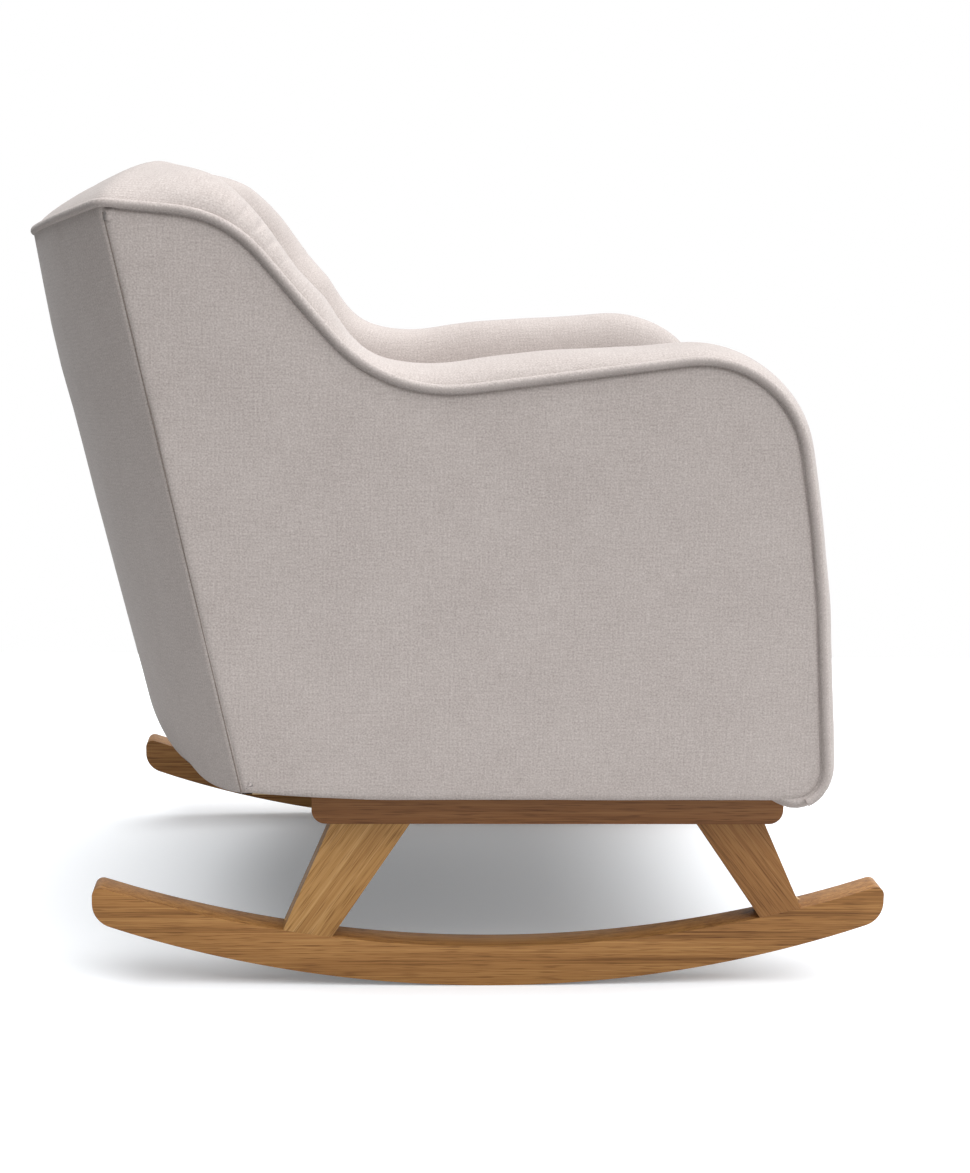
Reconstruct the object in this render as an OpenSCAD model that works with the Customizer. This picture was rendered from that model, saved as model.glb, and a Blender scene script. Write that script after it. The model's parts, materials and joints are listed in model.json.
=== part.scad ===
// Upholstered rocking chair: an oak rocker base under a padded tub body with wings.
// Millimetres. +Z is up, the sitter faces -Y, X runs across. The origin lies on the floor,
// under the middle of the chair. The body is symmetric, so left and right share one module.
//
// Side shapes are drawn in a plane of (f, z): f is the distance forward of the rockers'
// lowest line and z is the height above the floor.
// The back is drawn in a leaning frame that stands on the foot of the rear corner seams.

/* [Body] */
// Width over the outer side covers
body_w = 722; // [660:2:800]
// Height of the body's underside above the floor
body_base_z = 204; // [190:1:240]
// Depth of the body at its foot, from the rear corner seams to the front edge
body_d = 566; // [520:2:620]
// How far the middle of the body's foot lies forward of the rockers' lowest line
body_shift = 36; // [20:1:50]
// Height of the arm's front corner above the body's underside, before rounding
arm_h = 437; // [400:1:480]
// Rise of the arm line, as a share of its run
arm_rise = 0.14; // [0:0.01:0.2]
// Height of the side covers' rear top corner above the body's underside
back_h = 559; // [520:1:660]
// Lean of the back from upright, degrees
back_lean = 13; // [8:0.5:16]
// How far the outer back bows out behind its corner seams
back_bow = 108; // [80:1:125]

/* [Side outline] */
// How far the arm's front corner stands behind the front foot, before rounding
arm_corner_back = 53; // [30:1:80]
// How far the bend in the arm's front line stands behind the front foot
front_bend_back = 18; // [12:1:26]
// Height of the bend in the arm's front line above the body's underside
front_bend_h = 232; // [180:1:270]
// Distance of the wing's foot from the rear corner's foot
wing_foot_d = 131; // [110:1:150]
// Slope of the wing's front line from level, degrees
wing_slope = 48.6; // [44:0.2:60]
// Drop of the side's top line towards the wing
shoulder_drop = 8; // [2:1:20]
// Radius of the wing's shoulder
shoulder_r = 110; // [60:1:130]
// Radius of the hollow between wing and arm
hollow_r = 150; // [80:1:170]
// Radius of the arm's front corner
arm_corner_r = 100; // [50:1:115]
// Radius of the bend in the arm's front line
front_bend_r = 800; // [300:10:900]
// Radius of the front bottom corner
front_foot_r = 28; // [12:1:40]

/* [Padding] */
// Thickness of the outer covers at the sides
side_cover_t = 12; // [8:1:16]
// Thickness of the outer back cover
back_cover_t = 10; // [6:1:14]
// Height of the padded band over the arm
arm_band = 19; // [12:1:30]
// Height of the padded band over the wing
wing_band = 34; // [20:1:45]
// Height of the padded band over the top of the side
top_band = 40; // [24:1:50]
// Thickness of the padded band in front of the arm
front_band = 17; // [10:1:24]
// Padding on the inner faces of the arms
arm_lining_t = 14; // [8:1:20]
// Padding between the arm's boards and its band
board_padding = 8; // [5:1:12]
// Padding in front of the arm posts
post_padding = 26; // [20:1:34]
// Width of an arm, from the outer cover to the seat
arm_w = 99; // [90:1:120]
// Thickness of the inside back pad
back_pad_t = 82; // [60:1:90]
// Height of the padded roll on top of the back, above the rear piping
top_roll_h = 30; // [24:1:50]
// Part of the top roll's height that has the full thickness
top_roll_step = 14; // [8:1:20]
// How far the upper part of the top roll stands in, front and rear
top_roll_inset = 22; // [10:1:30]
// How far the roll's corners stay below its middle part
shoulder_step = 12; // [8:1:20]
// Radius of the piping
piping_r = 4.5; // [3:0.5:6]

/* [Seat cushion] */
// Thickness of the loose seat cushion
cushion_h = 140; // [100:1:160]
// How far the cushion's front stands behind the front foot
cushion_front_back = 11; // [4:1:30]
// Radius of the cushion's front corners
cushion_corner_r = 34; // [15:1:60]
// Radius of the cushion's piping
cushion_piping_r = 3; // [2:0.5:4]
// Gap between the cushion's walls and the arms
cushion_side_gap = 10; // [8:1:14]
// Gap between the cushion's rear wall and the back pad
cushion_rear_gap = 10; // [8:0.5:12]
// Width of the zip's tape
zip_tape_w = 26; // [18:1:34]
// Length of the zip along the rear wall
zip_len = 400; // [300:5:430]
// Length of the zip's slider
slider_len = 14; // [10:1:20]

/* [Rocker base] */
// How far a rocker runs on past its front leg
rocker_overhang = 82; // [60:1:120]
// Radius of a rocker's tread
rocker_r = 1190; // [1000:10:1500]
// Radius of a rocker's top edge
rocker_top_r = 1258; // [1050:10:1600]
// Depth of a rocker in the middle
rocker_h = 41; // [34:1:50]
// Thickness of a rocker
rocker_t = 36; // [30:1:44]
// Radius of a rocker's lower end corners
rocker_toe_r = 25; // [10:1:26]
// Radius of a rocker's upper end corners
rocker_heel_r = 8; // [3:1:10]
// How far the base's outer faces stand in from the side covers
base_inset = 46; // [42:1:60]
// Thickness of the legs and base rails
oak_t = 32; // [30:1:36]
// Height of the base rails
base_rail_h = 36; // [30:1:44]
// Distance of the base rails' rear ends from the rear corner's foot
base_rail_rear = 66; // [60:1:80]
// Distance of the base rails' front ends from the front foot
base_rail_front = 30; // [20:1:50]
// Radius of the base rails' lower end corners
base_rail_r = 14; // [6:1:18]
// Rear leg: distance from the rail's rear end
rear_leg_in = 19; // [12:1:30]
// Rear leg: width at the rail
rear_leg_top_w = 78; // [60:1:90]
// Rear leg: how far its rear edge runs back on the way down
rear_leg_splay = 48; // [20:1:70]
// Rear leg: width at the rocker
rear_leg_foot_w = 52; // [44:1:70]
// Front leg: distance from the rail's front end
front_leg_in = 18; // [10:1:30]
// Front leg: width at the rail
front_leg_top_w = 69; // [56:1:74]
// Front leg: how far its rear edge runs forward on the way down
front_leg_splay = 65; // [40:1:80]
// Front leg: width at the rocker
front_leg_foot_w = 47; // [44:1:60]
// Gap between the rear legs and the rear cross rail
rear_cross_gap = 2; // [0:1:40]
// Gap between the front legs and the front cross rail
front_cross_gap = 6; // [2:1:40]

/* [Frame timber] */
// Thickness of the seat rails
rail_t = 30; // [22:1:34]
// Height of the seat rails
rail_h = 60; // [50:1:80]
// Thickness of the plywood arm panels
panel_t = 12; // [9:1:15]
// Thickness of the fibreboard inside the arms
lining_board_t = 5; // [3:1:6]
// Thickness of the arm top boards
top_board_t = 18; // [12:1:22]
// Width of the arm posts, front to rear
arm_post_w = 40; // [30:1:50]
// Width of the back posts, front to rear
back_post_d = 40; // [30:1:50]
// Width of the back posts, across
back_post_w = 50; // [36:1:56]
// Thickness of the curved back rails
back_rail_t = 25; // [18:1:30]
// Height of the curved back rails
back_rail_h = 60; // [40:1:70]
// Length of the legs of a corner block
corner_block_l = 62; // [40:1:70]

/* [Springs and fasteners] */
// Number of seat springs
spring_count = 5; // [4:1:6]
// Distance of the outer springs from the arms
spring_margin = 70; // [60:1:90]
// Half width of a spring's zigzag
spring_swing = 24; // [16:1:28]
// Length of one wave of a spring
spring_wave = 50; // [40:1:70]
// Radius of the spring wire
wire_r = 1.9; // [1.5:0.1:2.2]
// Number of back straps
strap_count = 4; // [3:1:5]
// Width of a back strap
strap_w = 50; // [40:1:60]
// Thickness of a back strap
strap_t = 2; // [1:0.5:3]
// Gap between the straps and the front of the curved back rails
strap_gap = 24; // [0:1:30]
// Diameter of the leg dowels
dowel_d = 10; // [8:1:12]
// Length of the leg dowels
dowel_l = 40; // [30:1:42]
// Clearance of a dowel, bolt or screw in its hole, on the radius
hole_clear = 0.15; // [0.1:0.05:0.4]
// Diameter of the base bolts
bolt_d = 8; // [6:1:8]
// Depth of the recess for a bolt's head
bolt_recess = 12; // [10:1:16]
// Diameter of the washers
washer_d = 20; // [18:1:22]
// Thickness of the washers
washer_t = 1.6; // [1:0.1:2]

/* [Hidden] */
$fn = 48;

left = 1;
right = -1;
corner_step = 7.5;  // degrees between the points of a rounded corner
corner_share = 0.49;  // most of an edge that one rounded corner may use
touch_gap = 0.3;    // gap between soft neighbours
beyond = 5;         // how far cutting shapes run past what they cut
far = 2000;         // larger than the chair
sheet_t = 1;        // thickness of the dust cover

oak = "#a9824f";
beech = "#c9a878";
plywood = "#b9976a";
fabric = "#bcb3ae";
steel = "#8d9094";
black_cloth = "#2b2b2d";
elastic = "#3b3a38";

// Body width, from the middle outwards
body_half = body_w / 2;
panel_x = body_half - side_cover_t;        // outer face of the arm panels
post_x = panel_x - panel_t;                // outer face of the posts
seat_half = body_half - arm_w;
lining_x = seat_half + arm_lining_t;       // inner face of the inner boards
board_x = lining_x + lining_board_t;       // outer face of the inner boards
back_post_in = max(post_x - back_post_w, lining_x + touch_gap);  // inner face of the back posts

// Body depth and heights
back_foot_f = body_shift - body_d / 2;
front_foot_f = body_shift + body_d / 2;
arm_front_z = body_base_z + arm_h;
back_top_z = body_base_z + back_h;
arm_corner_f = front_foot_f - arm_corner_back;
front_bend_f = front_foot_f - front_bend_back;
front_bend_z = body_base_z + front_bend_h;
wing_foot_f = back_foot_f + wing_foot_d;

// Base, from the middle outwards and from rear to front
base_half = body_half - base_inset;
oak_in = base_half - oak_t;
bolt_x = base_half - oak_t / 2;
base_rail_z = body_base_z - base_rail_h;   // underside of the base rails
base_rail_rear_f = back_foot_f + base_rail_rear;
base_rail_front_f = front_foot_f - base_rail_front;
rear_leg_top_f = base_rail_rear_f + rear_leg_in;
rear_leg_foot_f = rear_leg_top_f - rear_leg_splay;
front_leg_top_f = base_rail_front_f - front_leg_in - front_leg_top_w;
front_leg_foot_f = front_leg_top_f + front_leg_splay;
rear_cross_f = rear_leg_top_f + rear_leg_top_w + rear_cross_gap;  // rear face
front_cross_f = front_leg_top_f - front_cross_gap - oak_t;        // rear face
rocker_end_f = front_leg_foot_f + front_leg_foot_w + rocker_overhang;

// Back, as rings around an upright axis in the leaning frame
back_len = back_h / cos(back_lean);
back_r = (body_half * body_half + back_bow * back_bow) / (2 * back_bow);
ring_y = back_bow - back_r;                // axis of the rings behind the seam plane
frame_r = back_r - back_cover_t;           // outer face of the curved rails
web_r = frame_r - back_rail_t;             // inner face of the curved rails
strap_r = web_r - strap_gap;               // outer face of the straps
pad_r = strap_r - strap_t - 2;             // outer face of the inside back pad
face_r = pad_r - back_pad_t;               // inner face of the inside back pad
top_rail_z = back_len - 24 - back_rail_h;  // foot of the top rail in the leaning frame
lower_rail_z = 60;                         // foot of the lower rail in the leaning frame
first_strap_z = lower_rail_z + back_rail_h + 30;

// Middle of the chair's box, forward of the rockers' lowest line
rear_reach = (back_bow + piping_r + touch_gap) * cos(back_lean)
  + (back_len - piping_r) * sin(back_lean) + piping_r - back_foot_f;
mid_f = (rocker_end_f - rear_reach) / 2;

// Seat, from the frame upwards
frame_z = body_base_z + sheet_t;           // underside of the seat rails
rail_top_z = frame_z + rail_h;
wire_z = rail_top_z + 4;                   // middle of the spring wires
deck_z = wire_z + wire_r + 2;              // underside of the deck pad
deck_t = 28;
cushion_z = deck_z + deck_t + 1;           // underside of the cushion
cushion_half = seat_half - cushion_side_gap;
cushion_r = face_r - cushion_rear_gap;     // rear wall of the cushion
cushion_front_f = front_foot_f - cushion_front_back;
front_rail_f = front_bend_f - post_padding - 2;             // front face of the front rail
rear_rail_f = back_foot_f + back_post_d / cos(back_lean);   // rear face of the rear seat rail
spring_pitch = 2 * (seat_half - spring_margin) / (spring_count - 1);
zip_tape_t = 2;
slider_t = 3.4;

// ---------- helpers ----------

function unit(v) = v / norm(v);
function y_of(f) = mid_f - f;

// Points of the arc that rounds the corner q between its neighbours p and s
function corner_arc(p, q, s, r) =
  let (a = unit(p - q), b = unit(s - q), half = acos(a * b) / 2,
       room = corner_share * min(norm(p - q), norm(s - q)),
       reach = min(r / tan(half), room),
       fit_r = reach * tan(half),
       centre = q + unit(a + b) * fit_r / sin(half),
       from = q + a * reach - centre,
       to = q + b * reach - centre,
       start = atan2(from.y, from.x),
       turn = atan2(to.y, to.x) - start,
       sweep = turn > 180 ? turn - 360 : turn < -180 ? turn + 360 : turn,
       steps = max(1, ceil(abs(sweep) / corner_step)))
  [for (i = [0 : steps])
    centre + fit_r * [cos(start + sweep * i / steps), sin(start + sweep * i / steps)]];

// The rounded corner i of an outline
function corner(points, radii, i) =
  let (n = len(points))
  radii[i] <= 0 ? [points[i]]
    : corner_arc(points[(i + n - 1) % n], points[i], points[(i + 1) % n], radii[i]);

function rounded(points, radii) = [for (i = [0 : len(points) - 1]) each corner(points, radii, i)];

// A clockwise outline with edge i moved outwards by d[i]
function grown(points, d) =
  let (n = len(points))
  [for (i = [0 : n - 1])
    let (h = (i + n - 1) % n,
         u = unit(points[i] - points[h]), v = unit(points[(i + 1) % n] - points[i]),
         p = points[i] + d[h] * [-u.y, u.x], q = points[i] + d[i] * [-v.y, v.x])
    p + u * cross(q - p, v) / cross(u, v)];

// Rings of a tube along points, closed or with flat ends
module tube_along(path, r, sides, closed = false) {
  n = len(path);
  rings = [for (i = [0 : n - 1])
    let (before = path[closed ? (i + n - 1) % n : max(i - 1, 0)],
         after = path[closed ? (i + 1) % n : min(i + 1, n - 1)],
         t = unit(after - before),
         side = unit(cross(t, abs(t.z) > 0.9 ? [1, 0, 0] : [0, 0, 1])),
         up = cross(side, t))
    each [for (k = [0 : sides - 1])
      path[i] + r * (side * cos(360 * k / sides) + up * sin(360 * k / sides))]];
  spans = closed ? n : n - 1;
  walls = [for (i = [0 : spans - 1]) for (k = [0 : sides - 1])
    let (a = i * sides, b = ((i + 1) % n) * sides, m = (k + 1) % sides)
    each [[a + k, b + k, b + m], [a + k, b + m, a + m]]];
  ends = closed ? [] : [
    [for (k = [0 : sides - 1]) k],
    [for (k = [sides - 1 : -1 : 0]) (n - 1) * sides + k]];
  polyhedron(rings, concat(walls, ends));
}

// A side shape in (f, z) as a slab from x_in to x_out, on one side of the chair
module slab(x_in, x_out) {
  translate([x_out, 0, 0]) rotate([90, 0, -90])
    linear_extrude(x_out - x_in) translate([-mid_f, 0]) children();
}

module on_side(side) {
  if (side == left) children();
  else mirror([1, 0, 0]) children();
}

module both_sides() {
  children();
  mirror([1, 0, 0]) children();
}

// A bar across the chair, from the middle plane out to x on both sides
module cross_bar(x, f, z, depth, height) {
  translate([-x, y_of(f + depth), z]) cube([2 * x, depth, height]);
}

module leaning() {
  translate([0, y_of(back_foot_f), body_base_z]) rotate([-back_lean, 0, 0]) children();
}

// Part of a ring of the back, between two radii, two heights and the side limits
module back_ring(r_in, r_out, x_max, z0, z1) {
  translate([0, 0, z0]) linear_extrude(z1 - z0) intersection() {
    difference() {
      translate([0, ring_y]) circle(r_out, $fn = 180);
      translate([0, ring_y]) circle(r_in, $fn = 180);
    }
    translate([-x_max, ring_y]) square([2 * x_max, back_r]);
  }
}

// The whole inside of a ring of the back
module leaning_disc(r) {
  leaning() translate([0, ring_y, -far / 4]) cylinder(h = far, r = r, $fn = 180);
}

// Everything of its children above a level
module above(z) {
  intersection() {
    children();
    translate([-far / 2, -far / 2, z]) cube(far);
  }
}

// Y of a ring of the back, at a place across and a height
function ring_y_at(x, z, r) = y_of(back_foot_f) + (z - body_base_z) * tan(back_lean)
  + (ring_y + sqrt(r * r - x * x)) / cos(back_lean);

// ---------- side outlines ----------

wing_foot_z = arm_front_z - arm_rise * (arm_corner_f - wing_foot_f);
shoulder_z = back_top_z - shoulder_drop;
shoulder_f = wing_foot_f - (shoulder_z - wing_foot_z) / tan(wing_slope);
side_points = [
  [back_foot_f, body_base_z],
  [back_foot_f - back_h * tan(back_lean), back_top_z],
  [shoulder_f, shoulder_z],
  [wing_foot_f, wing_foot_z],
  [arm_corner_f, arm_front_z],
  [front_bend_f, front_bend_z],
  [front_foot_f, body_base_z]
];
// The edges run: rear, top, wing, arm, upper front, lower front, bottom
side_radii = [0, 0, shoulder_r, hollow_r, arm_corner_r, front_bend_r, front_foot_r];
band = [0, top_band, wing_band, arm_band, front_band, front_band, 0];
band_radii = [0, top_band - 6, shoulder_r + 30, hollow_r - 30,
  arm_corner_r + 16, front_bend_r, front_foot_r + 14];

module side_shape() {
  polygon(rounded(side_points, side_radii));
}

module band_shape() {
  polygon(rounded(grown(side_points, band), band_radii));
}

// The side outline with its upper and front edges moved in, its rear and bottom by their own
module inset_shape(d, front, rear, bottom) {
  polygon(rounded(grown(side_points, [-rear, -d, -d, -d, -front, -front, -bottom]),
    [0, 0, shoulder_r - d, hollow_r + d, arm_corner_r - d, front_bend_r, front_foot_r - bottom]));
}

// ---------- rocker base ----------

arc_steps = 48;
arc_f = rocker_end_f - rocker_toe_r - 14;  // where a rocker's arcs give way to its rounded ends

function tread_z(f) = rocker_r - sqrt(rocker_r * rocker_r - f * f);
function rocker_top_z(f) = rocker_h + rocker_top_r - sqrt(rocker_top_r * rocker_top_r - f * f);
rocker_top_line = [for (i = [0 : arc_steps])
  let (f = -arc_f + 2 * arc_f * i / arc_steps) [f, rocker_top_z(f)]];

module rocker_shape() {
  tread = [for (i = [0 : arc_steps]) let (f = arc_f - 2 * arc_f * i / arc_steps) [f, tread_z(f)]];
  points = concat(
    [[rocker_end_f, tread_z(rocker_end_f)]], tread, [[-rocker_end_f, tread_z(rocker_end_f)]],
    [[-rocker_end_f, rocker_top_z(rocker_end_f)]], rocker_top_line,
    [[rocker_end_f, rocker_top_z(rocker_end_f)]]);
  radii = concat([rocker_toe_r], [for (p = tread) 0], [rocker_toe_r, rocker_heel_r],
    [for (p = rocker_top_line) 0], [rocker_heel_r]);
  polygon(rounded(points, radii));
}

// A leg tapers from the rail's underside to the curved top of the rocker
module leg_shape(top_f, top_w, foot_f, foot_w) {
  foot_z = rocker_top_z(foot_f + foot_w / 2);
  past = 30;  // how far the foot runs on before it is cut to the curve
  grow = 1 + past / (base_rail_z - foot_z);
  rear_f = top_f + (foot_f - top_f) * grow;
  front_f = top_f + top_w + (foot_f + foot_w - top_f - top_w) * grow;
  difference() {
    polygon([[top_f, base_rail_z], [top_f + top_w, base_rail_z],
      [front_f, foot_z - past], [rear_f, foot_z - past]]);
    polygon(concat(rocker_top_line, [[arc_f, -far], [-arc_f, -far]]));
  }
}

// Dowels of one leg: two into the rail and two into the rocker, along the leg's slant
module leg_dowel_pair(f, z, lean, spacing, r) {
  translate([base_half - oak_t / 2, y_of(f), z]) rotate([lean, 0, 0])
    for (s = [-1, 1]) translate([0, s * spacing / 2, -dowel_l / 2]) cylinder(h = dowel_l, r = r);
}

module leg_dowel_set(top_f, top_w, foot_f, foot_w, r) {
  foot_mid = foot_f + foot_w / 2;
  top_mid = top_f + top_w / 2;
  foot_z = rocker_top_z(foot_mid);
  lean = atan((foot_mid - top_mid) / (base_rail_z - foot_z));
  leg_dowel_pair(top_mid, base_rail_z, lean, top_w / 2 - 4, r);
  leg_dowel_pair(foot_mid, foot_z, lean, foot_w / 2 - 4, r);
}

module side_dowels(r) {
  leg_dowel_set(rear_leg_top_f, rear_leg_top_w, rear_leg_foot_f, rear_leg_foot_w, r);
  leg_dowel_set(front_leg_top_f, front_leg_top_w, front_leg_foot_f, front_leg_foot_w, r);
}

// Dowels between a cross rail and the base rail of one side
module cross_dowels(r) {
  for (f = [rear_cross_f, front_cross_f]) for (s = [-1, 1])
    translate([oak_in - 20, y_of(f + oak_t / 2) + s * 8, base_rail_z + base_rail_h / 2])
      rotate([0, 90, 0]) cylinder(h = 40, r = r);
}

bolt_places = [rear_cross_f + oak_t + 30, front_cross_f - 30];
bolt_head_z = base_rail_z + bolt_recess;   // lower face of the washers' seat
bolt_r = bolt_d / 2;
head_h = 5;
tee_r = bolt_r + 1;
tee_depth = 10;
flange_t = 1.5;

module at_bolts() {
  for (f = bolt_places) translate([bolt_x, y_of(f), 0]) children();
}

module rocker(side) {
  color(oak) on_side(side) difference() {
    slab(base_half - rocker_t, base_half) rocker_shape();
    side_dowels(dowel_d / 2 + hole_clear);
  }
}

module rear_leg(side) {
  color(oak) on_side(side) difference() {
    slab(oak_in, base_half)
      leg_shape(rear_leg_top_f, rear_leg_top_w, rear_leg_foot_f, rear_leg_foot_w);
    side_dowels(dowel_d / 2 + hole_clear);
  }
}

module front_leg(side) {
  color(oak) on_side(side) difference() {
    slab(oak_in, base_half)
      leg_shape(front_leg_top_f, front_leg_top_w, front_leg_foot_f, front_leg_foot_w);
    side_dowels(dowel_d / 2 + hole_clear);
  }
}

module base_rail(side) {
  color(oak) on_side(side) difference() {
    slab(oak_in, base_half) polygon(rounded(
      [[base_rail_rear_f, base_rail_z], [base_rail_rear_f, body_base_z],
        [base_rail_front_f, body_base_z], [base_rail_front_f, base_rail_z]],
      [base_rail_r, 0, 0, base_rail_r]));
    side_dowels(dowel_d / 2 + hole_clear);
    cross_dowels(dowel_d / 2 + hole_clear);
    at_bolts() {
      translate([0, 0, base_rail_z - beyond]) cylinder(h = far, r = bolt_r + hole_clear);
      translate([0, 0, base_rail_z - beyond])
        cylinder(h = bolt_recess + beyond, r = washer_d / 2 + 2 * hole_clear);
    }
  }
}

module base_cross_rail(rear_face_f) {
  color(oak) difference() {
    cross_bar(oak_in, rear_face_f, base_rail_z, oak_t, base_rail_h);
    both_sides() cross_dowels(dowel_d / 2 + hole_clear);
  }
}

module leg_dowels() {
  color(beech) both_sides() side_dowels(dowel_d / 2);
}

module cross_rail_dowels() {
  color(beech) both_sides() cross_dowels(dowel_d / 2);
}

module base_washers() {
  color(steel) both_sides() at_bolts() translate([0, 0, bolt_head_z - washer_t]) difference() {
    cylinder(h = washer_t, r = washer_d / 2);
    translate([0, 0, -beyond]) cylinder(h = far, r = bolt_r + hole_clear);
  }
}

// Button-head bolts with a six-sided key recess
module base_bolts() {
  seat_z = bolt_head_z - washer_t;
  color(steel) both_sides() at_bolts() difference() {
    union() {
      translate([0, 0, seat_z - head_h]) cylinder(h = head_h, r = bolt_d * 0.85);
      translate([0, 0, seat_z]) cylinder(h = rail_top_z - seat_z - 1, r = bolt_r);
    }
    translate([0, 0, seat_z - head_h - beyond]) cylinder(h = beyond + 3, r = bolt_r * 0.7, $fn = 6);
  }
}

// Tee nuts pressed into the tops of the side seat rails
module tee_nuts() {
  color(steel) both_sides() at_bolts() translate([0, 0, rail_top_z - tee_depth]) difference() {
    union() {
      cylinder(h = tee_depth, r = tee_r);
      translate([0, 0, tee_depth]) cylinder(h = flange_t, r = tee_r + 5);
    }
    translate([0, 0, -beyond]) cylinder(h = far, r = bolt_r + 0.05);
  }
}

// ---------- seat frame ----------

module dust_cover() {
  color(black_cloth) difference() {
    intersection() {
      translate([-post_x, y_of(front_rail_f), body_base_z]) cube([2 * post_x, far, sheet_t]);
      leaning_disc(frame_r - 1);
    }
    both_sides() at_bolts() cylinder(h = far, r = bolt_r + 1);
  }
}

module seat_rail(side) {
  color(beech) on_side(side) difference() {
    translate([bolt_x - rail_t / 2, y_of(front_rail_f), frame_z])
      cube([rail_t, front_rail_f - rear_rail_f, rail_h]);
    at_bolts() {
      cylinder(h = far, r = bolt_r + hole_clear);
      translate([0, 0, rail_top_z - tee_depth]) cylinder(h = far, r = tee_r + hole_clear);
    }
    block_screw_holes();
  }
}

module seat_cross_rail(rear_face_f) {
  color(beech) difference() {
    cross_bar(bolt_x - rail_t / 2, rear_face_f, frame_z, rail_t, rail_h);
    block_screw_holes();
  }
}

block_h = rail_h - 20;
block_screw_l = 54;
block_screw_r = 2.2;

// The four inner corners of the seat frame, each with its block towards -X and +Y
module at_frame_corners() {
  both_sides() {
    translate([bolt_x - rail_t / 2, y_of(front_rail_f - rail_t), frame_z + 10]) children();
    translate([bolt_x - rail_t / 2, y_of(rear_rail_f + rail_t), frame_z + 10])
      mirror([0, 1, 0]) children();
  }
}

// Screws run through each block's slant face into the rails' corner joint
module at_block_screws() {
  at_frame_corners() for (z = [block_h * 0.3, block_h * 0.7])
    translate([-corner_block_l / 2, corner_block_l / 2, z]) rotate([0, 90, -45]) children();
}

module block_screw_holes() {
  at_block_screws() translate([0, 0, -beyond])
    cylinder(h = block_screw_l + beyond + 1, r = block_screw_r + hole_clear);
}

module corner_blocks() {
  color(beech) difference() {
    at_frame_corners() linear_extrude(block_h)
      polygon([[0, 0], [-corner_block_l, 0], [0, corner_block_l]]);
    block_screw_holes();
  }
}

module block_screws() {
  head_t = 3;
  color(steel) at_block_screws() {
    translate([0, 0, -head_t]) cylinder(h = head_t, r = 2 * block_screw_r);
    cylinder(h = block_screw_l, r = block_screw_r);
  }
}

// ---------- arms ----------

module arm_panel(side) {
  color(plywood) on_side(side) slab(post_x, panel_x)
    inset_shape(board_padding, board_padding, back_cover_t, 3);
}

module arm_top_board(side) {
  color(beech) on_side(side) slab(board_x, post_x) intersection() {
    difference() {
      inset_shape(board_padding, post_padding, 0, 0);
      inset_shape(board_padding + top_board_t, post_padding, -beyond, -beyond);
    }
    translate([wing_foot_f + 30, rail_top_z])
      square([front_rail_f - wing_foot_f - 90, far]);
  }
}

// The arm post stands on the side rail and laps down its outer face
module arm_post(side) {
  color(beech) on_side(side) slab(board_x, post_x) intersection() {
    inset_shape(board_padding + top_board_t, post_padding + 2, 0, 0);
    translate([front_rail_f - arm_post_w - 20, rail_top_z + 4]) square([arm_post_w, far]);
  }
}

module arm_inner_board(side) {
  color(plywood) on_side(side) slab(lining_x, board_x) intersection() {
    inset_shape(board_padding + top_board_t, post_padding + 2, 60, 0);
    translate([-far / 2, rail_top_z + 8]) square([far, far]);
  }
}

// ---------- back ----------

module back_post(side) {
  color(beech) on_side(side) above(frame_z) leaning()
    translate([0, 0, -20]) linear_extrude(top_rail_z + back_rail_h + 20) intersection() {
      translate([back_post_in, -back_post_d]) square([post_x - back_post_in, back_bow]);
      translate([0, ring_y]) circle(frame_r, $fn = 180);
      translate([0, ring_y - back_post_d]) circle(frame_r, $fn = 180);
    }
}

module back_rail(z0) {
  color(beech) leaning()
    back_ring(web_r, frame_r, back_post_in, z0, z0 + back_rail_h);
}

module back_webbing() {
  pitch = (top_rail_z - 30 - strap_w - first_strap_z) / (strap_count - 1);
  color(elastic) leaning() for (i = [0 : strap_count - 1])
    back_ring(strap_r - strap_t, strap_r, back_post_in,
      first_strap_z + i * pitch, first_strap_z + i * pitch + strap_w);
}

// ---------- seat springs ----------

spring_from_f = rear_rail_f + rail_t - 8;
spring_to_f = front_rail_f - rail_t + 8;

function spring_x(i) = (i - (spring_count - 1) / 2) * spring_pitch;

module seat_springs() {
  waves = round((spring_to_f - spring_from_f) / spring_wave);
  steps = waves * 6;
  color(steel) for (i = [0 : spring_count - 1])
    tube_along([for (k = [0 : steps])
      let (s = k / steps, edge = min(1, min(k, steps - k) / 3))
      [spring_x(i) + edge * spring_swing * sin(360 * waves * s),
        y_of(spring_from_f + (spring_to_f - spring_from_f) * s), wire_z]], wire_r, 6);
}

// Folded clips that hold the spring ends on the rails, open towards the seat's middle
module spring_clips() {
  clip_l = 16;
  clip_w = 14;
  wall = 1.2;
  slot = 2 * wire_r + 0.4;
  height = wire_z - rail_top_z + slot / 2 + wall;
  color(steel) for (i = [0 : spring_count - 1]) for (end = [0, 1])
    translate([spring_x(i), y_of(end == 0 ? spring_from_f : spring_to_f), rail_top_z])
      rotate([0, 0, end == 0 ? 180 : 0]) difference() {
        translate([-clip_w / 2, -clip_l / 2, 0]) cube([clip_w, clip_l, height]);
        translate([-clip_w, wall - clip_l / 2, height - wall - slot])
          cube([2 * clip_w, clip_l, slot]);
      }
}

// ---------- soft parts on the frame ----------

module seat_deck_pad() {
  half = seat_half - 1;
  color(fabric) intersection() {
    translate([-half, y_of(front_rail_f - 2), deck_z]) cube([2 * half, far, deck_t]);
    leaning_disc(face_r - 1);
  }
}

module front_border() {
  color(fabric) slab(-seat_half + touch_gap, seat_half - touch_gap)
    polygon(rounded([[front_rail_f + touch_gap, body_base_z + 2],
      [front_rail_f + touch_gap, cushion_z - 1.5],
      [front_foot_f - 2, cushion_z - 1.5], [front_foot_f - 2, body_base_z + 2]],
      [0, 0, 10, 10]));
}

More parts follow.
